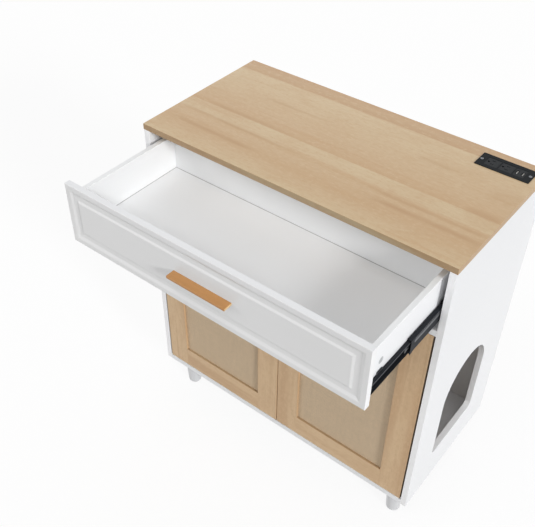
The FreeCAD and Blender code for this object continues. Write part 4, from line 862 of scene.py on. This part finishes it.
class CABINET_OT_slides(bpy.types.Operator):
    """Three-part drawer slides with their release levers and screws"""

    bl_idname = "cabinet.slides"
    bl_label = "Drawer slides"

    def execute(self, context):
        _, colours = settings()
        coat = enamel("slide_black_coat", colours.black[:])
        lever = plastic("lever_black_plastic", shade(colours.black, 0.8), 0.38)
        # Pale steel: the bearing balls' own colour, and painted highlight on the ear and painted sheen
        # on the rib.
        pale_steel_and_sheen = metal("slide_pale_steel_and_painted_sheen", screen(122, 123, 126), 0.5)
        for side, sign in SIDES.items():
            for part, width in (("outer", 0.25 * MM), ("middle", 0.4 * MM), ("inner", 0.5 * MM)):
                node = f"slide_{part}_member_{side}"
                member = copy_of(node, f"{node}_eased")
                if part == "inner":
                    self.ear(member)
                soften(member, width, 2)
                give(member, coat, pale_steel_and_sheen)
                if part == "inner":
                    # Painted highlight on the ear's faces that look up and outwards.
                    cover(member, 1, lambda f: self.takes_painted_highlight(f, sign))
                stand_in(member, node)
            eased(f"release_lever_{side}", 0.4 * MM, lever)
            self.rib(side, sign, pale_steel_and_sheen)
            self.balls(side, sign, pale_steel_and_sheen)
        dress("slide_cabinet_screws", zinc())
        dress("slide_drawer_screws", zinc())
        return {"FINISHED"}

    def ear(self, member):
        """Rounds the ear that stands up near the inner member's front end."""
        points = member.data.vertices
        top = max(point.co.z for point in points)

        def corner(edge):
            first, second = (points[i].co for i in edge.vertices)
            return min(first.z, second.z) > top - 0.1 * MM and abs(first.x - second.x) > 0.9 * MM

        choose(member, "EDGE", corner)
        bpy.ops.mesh.bevel(offset=4.5 * MM, segments=6, profile=0.5)
        bpy.ops.object.mode_set(mode="OBJECT")

    def takes_painted_highlight(self, face, sign):
        """Whether a face of the inner member's ear looks up and outwards, where it gets a painted
        highlight in pale steel.
        """
        ear_foot = 768 * MM
        return face.center.z > ear_foot and min(face.normal.z, face.normal.x * sign) > 0.35

    def face(self, side, sign):
        """The middle member's outer face, its front and rear end and its middle height, in metres."""
        low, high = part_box(f"slide_middle_member_{side}")
        return (high.x if sign > 0 else low.x), low.y, high.y, high.z - 17.5 * MM

    def rib(self, side, sign, pale_steel_and_sheen):
        """A flat rib pressed out of the middle member, in pale steel as a painted sheen."""
        x, front, rear, level = self.face(side, sign)
        ends = sorted((x - sign * 0.3 * MM, x + sign * 0.5 * MM))
        start, stop, sill, head = 12 * MM, 20 * MM, 4 * MM, 11 * MM
        low = (ends[0], front + start, level + sill)
        high = (ends[1], rear - stop, level + head)
        rib = block(f"slide_pressed_rib_{side}", low, high)
        choose(rib, "EDGE", lambda e: abs(middle(rib, e).x - x - sign * 0.1 * MM) < 1e-6)
        bpy.ops.mesh.bevel(offset=3.4 * MM, segments=8, profile=0.5)
        choose(rib, "EDGE", lambda e: (middle(rib, e).x - x) * sign > 0.45 * MM)
        bpy.ops.mesh.bevel(offset=0.3 * MM, segments=3, profile=0.5)
        bpy.ops.object.mode_set(mode="OBJECT")
        soften(rib, 0)
        give(rib, pale_steel_and_sheen)
        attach(rib, f"middle_slide_{side}")

    def balls(self, side, sign, pale_steel_and_sheen):
        """The row of bearing balls that shows along the middle member."""
        x, front, rear, level = self.face(side, sign)
        pitch, radius, start, height = 5 * MM, 1.4 * MM, 16 * MM, 14.2 * MM
        bpy.ops.object.select_all(action="DESELECT")
        bpy.ops.mesh.primitive_uv_sphere_add(
            segments=12, ring_count=8, radius=radius, location=(x, front + start, level + height)
        )
        row = bpy.context.object
        bpy.ops.object.mode_set(mode="EDIT")
        bpy.ops.transform.resize(value=(0.4, 1, 1))
        bpy.ops.object.mode_set(mode="OBJECT")
        settle(row, f"slide_ball_row_{side}")
        repeat = row.modifiers.new("ball_row", "ARRAY")
        repeat.use_relative_offset = False
        repeat.use_constant_offset = True
        repeat.constant_offset_displace = (0, pitch, 0)
        repeat.count = int((rear - front - 45 * MM) / pitch)
        bpy.ops.object.modifier_apply(modifier=repeat.name)
        bpy.ops.object.shade_smooth()
        give(row, pale_steel_and_sheen)
        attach(row, f"middle_slide_{side}")


class CABINET_OT_power_strip(bpy.types.Operator):
    """Power strip let into the top, with its outlets and ports"""

    bl_idname = "cabinet.power_strip"
    bl_label = "Power strip"

    def execute(self, context):
        _, colours = settings()
        shell = plastic("strip_plastic", colours.strip[:], 0.5, 1.0, 0.035)
        insert = plastic("outlet_plastic", shade(colours.strip, 1.25), 0.4, 0.6, 0.07)
        eased("power_strip_housing", 0.3 * MM, shell)
        eased("power_strip_outlets", 0.2 * MM, insert)
        ports = eased("power_strip_usb_ports", 0.15 * MM, insert)
        give(ports, insert, plastic("pale_port_tongue", screen(196, 194, 190), 0.4))
        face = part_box("power_strip_usb_ports")[1].z
        cover(ports, 1, lambda f: f.normal.z > 0.7 and f.center.z < face - 0.5 * MM)
        eased("power_strip_cord_gland", 0.3 * MM, shell)
        dress("power_strip_screws", metal("strip_screw_zinc", screen(134, 136, 140), 0.5))
        return {"FINISHED"}


class CABINET_OT_fittings(bpy.types.Operator):
    """Cams, bolts, pivots, catch and other small fittings"""

    bl_idname = "cabinet.fittings"
    bl_label = "Fittings"

    def execute(self, context):
        for node in (
            "carcass_cam_locks",
            "carcass_cam_bolts",
            "drawer_cam_bolts",
            "drawer_pull_screws",
            "door_left_pull_screws",
            "door_right_pull_screws",
            "door_left_pivot_pins",
            "door_right_pivot_pins",
            "door_left_strike_plate",
            "door_right_strike_plate",
        ):
            dress(node, zinc())
        nylon = plastic("white_nylon", screen(236, 236, 232), 0.4)
        eased("door_catch_housing", 0.6 * MM, nylon)
        dress("drawer_cam_locks", plastic("cam_grey_cap", screen(206, 208, 210), 0.5))
        dress("door_pivot_bushes", nylon)
        eased("door_catch_magnets", 0.3 * MM, metal("magnet_nickel", screen(120, 122, 126), 0.34))
        return {"FINISHED"}


class CABINET_OT_studio(bpy.types.Operator):
    """Floor, lamps, surroundings and camera"""

    bl_idname = "cabinet.studio"
    bl_label = "Studio"

    def execute(self, context):
        scene = bpy.context.scene
        scene.view_settings.view_transform = "Standard"
        self.floor()
        self.world(scene)
        self.lamps()
        self.camera(scene)
        return {"FINISHED"}

    def floor(self):
        """A matt floor that takes the shadow and looks nearly white to the camera and in gloss."""
        bpy.ops.object.select_all(action="DESELECT")
        bpy.ops.mesh.primitive_plane_add(size=24, location=(0, 0, 0))
        plane = settle(bpy.context.object, "studio_floor")
        made = Finish("studio_floor_paint", Roughness=0.9, Specular_IOR_Level=0.1)
        speck = made.noise(7.0, 2.0)
        seen = made.add("ShaderNodeLightPath", out="Is Camera Ray")
        seen = seen.math("MAXIMUM", seen, seen.out("Is Glossy Ray"))
        matt = made.mix(speck * 0.2, screen(188, 188, 188), screen(184, 184, 184))
        made.paint("Base Color", made.mix(seen, matt, screen(255, 255, 255)))
        glow = made.add("ShaderNodeEmission", sockets={"Color": (1.0, 1.0, 1.0), "Strength": 1.0})
        paint = Value(made, made.shader.outputs[0])
        both = made.add("ShaderNodeMixShader", sockets={0: seen * 0.88, 1: paint, 2: glow})
        made.tree.links.new(both.socket, made.tree.nodes["Material Output"].inputs["Surface"])
        give(plane, made.material)

    def world(self, scene):
        """A soft grey room that looks white to the camera, in gloss and through glass."""
        world = bpy.data.worlds.new("studio_world")
        world.use_nodes = True
        scene.world = world
        nodes, links = world.node_tree.nodes, world.node_tree.links
        room, white = nodes["Background"], nodes.new("ShaderNodeBackground")
        for back, strength in ((room, 0.46), (white, 1)):
            back.inputs["Color"].default_value = (1, 1, 1, 1)
            back.inputs["Strength"].default_value = strength
        path = nodes.new("ShaderNodeLightPath")
        seen = path.outputs["Is Camera Ray"]
        for ray in ("Is Transmission Ray", "Is Glossy Ray"):
            either = nodes.new("ShaderNodeMath")
            either.operation = "MAXIMUM"
            links.new(seen, either.inputs[0])
            links.new(path.outputs[ray], either.inputs[1])
            seen = either.outputs[0]
        mixed = nodes.new("ShaderNodeMixShader")
        for i, source in enumerate((seen, room.outputs[0], white.outputs[0])):
            links.new(source, mixed.inputs[i])
        links.new(mixed.outputs[0], nodes["World Output"].inputs["Surface"])

    def lamps(self):
        """Soft suns, by the light they throw along each axis, and a faint lamp in the litter bay."""
        for name, reach, spread in (
            ("key_light", (0.48, -0.15, 0.19), 11),
            ("top_light", (0.01, -0.05, 0.14), 30),
            ("front_light", (-0.12, -0.10, 0.06), 20),
            ("back_light", (-0.10, 0.20, 0.02), 60),
        ):
            light = bpy.data.lights.new(name, "SUN")
            light.energy = Vector(reach).length * math.pi
            light.angle = math.radians(spread)
            turn = Vector(reach).to_track_quat("Z", "Y").to_euler()
            self.hang(name, light, (0, 0, 0), turn)
        glow = bpy.data.lights.new("bay_light", "POINT")
        glow.energy, glow.shadow_soft_size = 0.12, 0.1
        self.hang("bay_light", glow, (0.12, 0.0, 0.4), (0, 0, 0))

    def hang(self, name, light, place, turn):
        """Puts a light into the scene."""
        lamp = bpy.data.objects.new(name, light)
        lamp.location = place
        lamp.rotation_euler = turn
        bpy.context.scene.collection.objects.link(lamp)

    def camera(self, scene):
        """The camera at the photo's viewing angle, with its azimuth, elevation and roll in degrees."""
        lens = bpy.data.cameras.new("photo_camera")
        lens.sensor_width = 36
        lens.lens = 53.26
        lens.shift_x = 0.01758
        lens.shift_y = 0.00983
        lens.clip_start = 0.05
        lens.clip_end = 60
        azimuth, elevation, roll = (math.radians(angle) for angle in (38.61, 41.4075, 0.15))
        level = math.cos(elevation)
        back = Vector((math.sin(azimuth) * level, -math.cos(azimuth) * level, math.sin(elevation)))
        right = Vector((0, 0, 1)).cross(back).normalized()
        up = back.cross(right)
        turned = math.cos(roll) * right + math.sin(roll) * up
        up = -math.sin(roll) * right + math.cos(roll) * up
        place = Matrix((turned, up, back)).transposed().to_4x4()
        place.translation = (0.7837, -1.2613, 1.8296)
        camera = bpy.data.objects.new("photo_camera", lens)
        camera.matrix_world = place
        scene.collection.objects.link(camera)
        scene.camera = camera


class CABINET_PT_pieces(bpy.types.Panel):
    """The cabinet's pieces, sizes and colours"""

    bl_label = "Litter box cabinet"
    bl_idname = "CABINET_PT_pieces"
    bl_space_type = "VIEW_3D"
    bl_region_type = "UI"
    bl_category = "Cabinet"

    def draw(self, context):
        for maker in MAKERS:
            self.layout.operator(maker.bl_idname)
        for group in settings():
            box = self.layout.box()
            for name in group.bl_rna.properties.keys():
                if name not in {"rna_type", "name"}:
                    box.prop(group, name)


MAKERS = (
    CABINET_OT_studio,
    CABINET_OT_top_board,
    CABINET_OT_carcass,
    CABINET_OT_legs,
    CABINET_OT_door_frames,
    CABINET_OT_woven_panels,
    CABINET_OT_pulls,
    CABINET_OT_drawer_front,
    CABINET_OT_drawer_box,
    CABINET_OT_slides,
    CABINET_OT_power_strip,
    CABINET_OT_fittings,
)
CLASSES = (CabinetSizes, CabinetColours, *MAKERS, CABINET_PT_pieces)


def register():
    for cls in CLASSES:
        bpy.utils.register_class(cls)
    bpy.types.Scene.cabinet_sizes = bpy.props.PointerProperty(type=CabinetSizes)
    bpy.types.Scene.cabinet_colours = bpy.props.PointerProperty(type=CabinetColours)


def unregister():
    del bpy.types.Scene.cabinet_colours
    del bpy.types.Scene.cabinet_sizes
    for cls in reversed(CLASSES):
        bpy.utils.unregister_class(cls)


def main():
    """Builds every piece in turn."""
    register()
    for maker in MAKERS:
        group, name = maker.bl_idname.split(".")
        getattr(getattr(bpy.ops, group), name)()


if __name__ == "__main__":
    main()
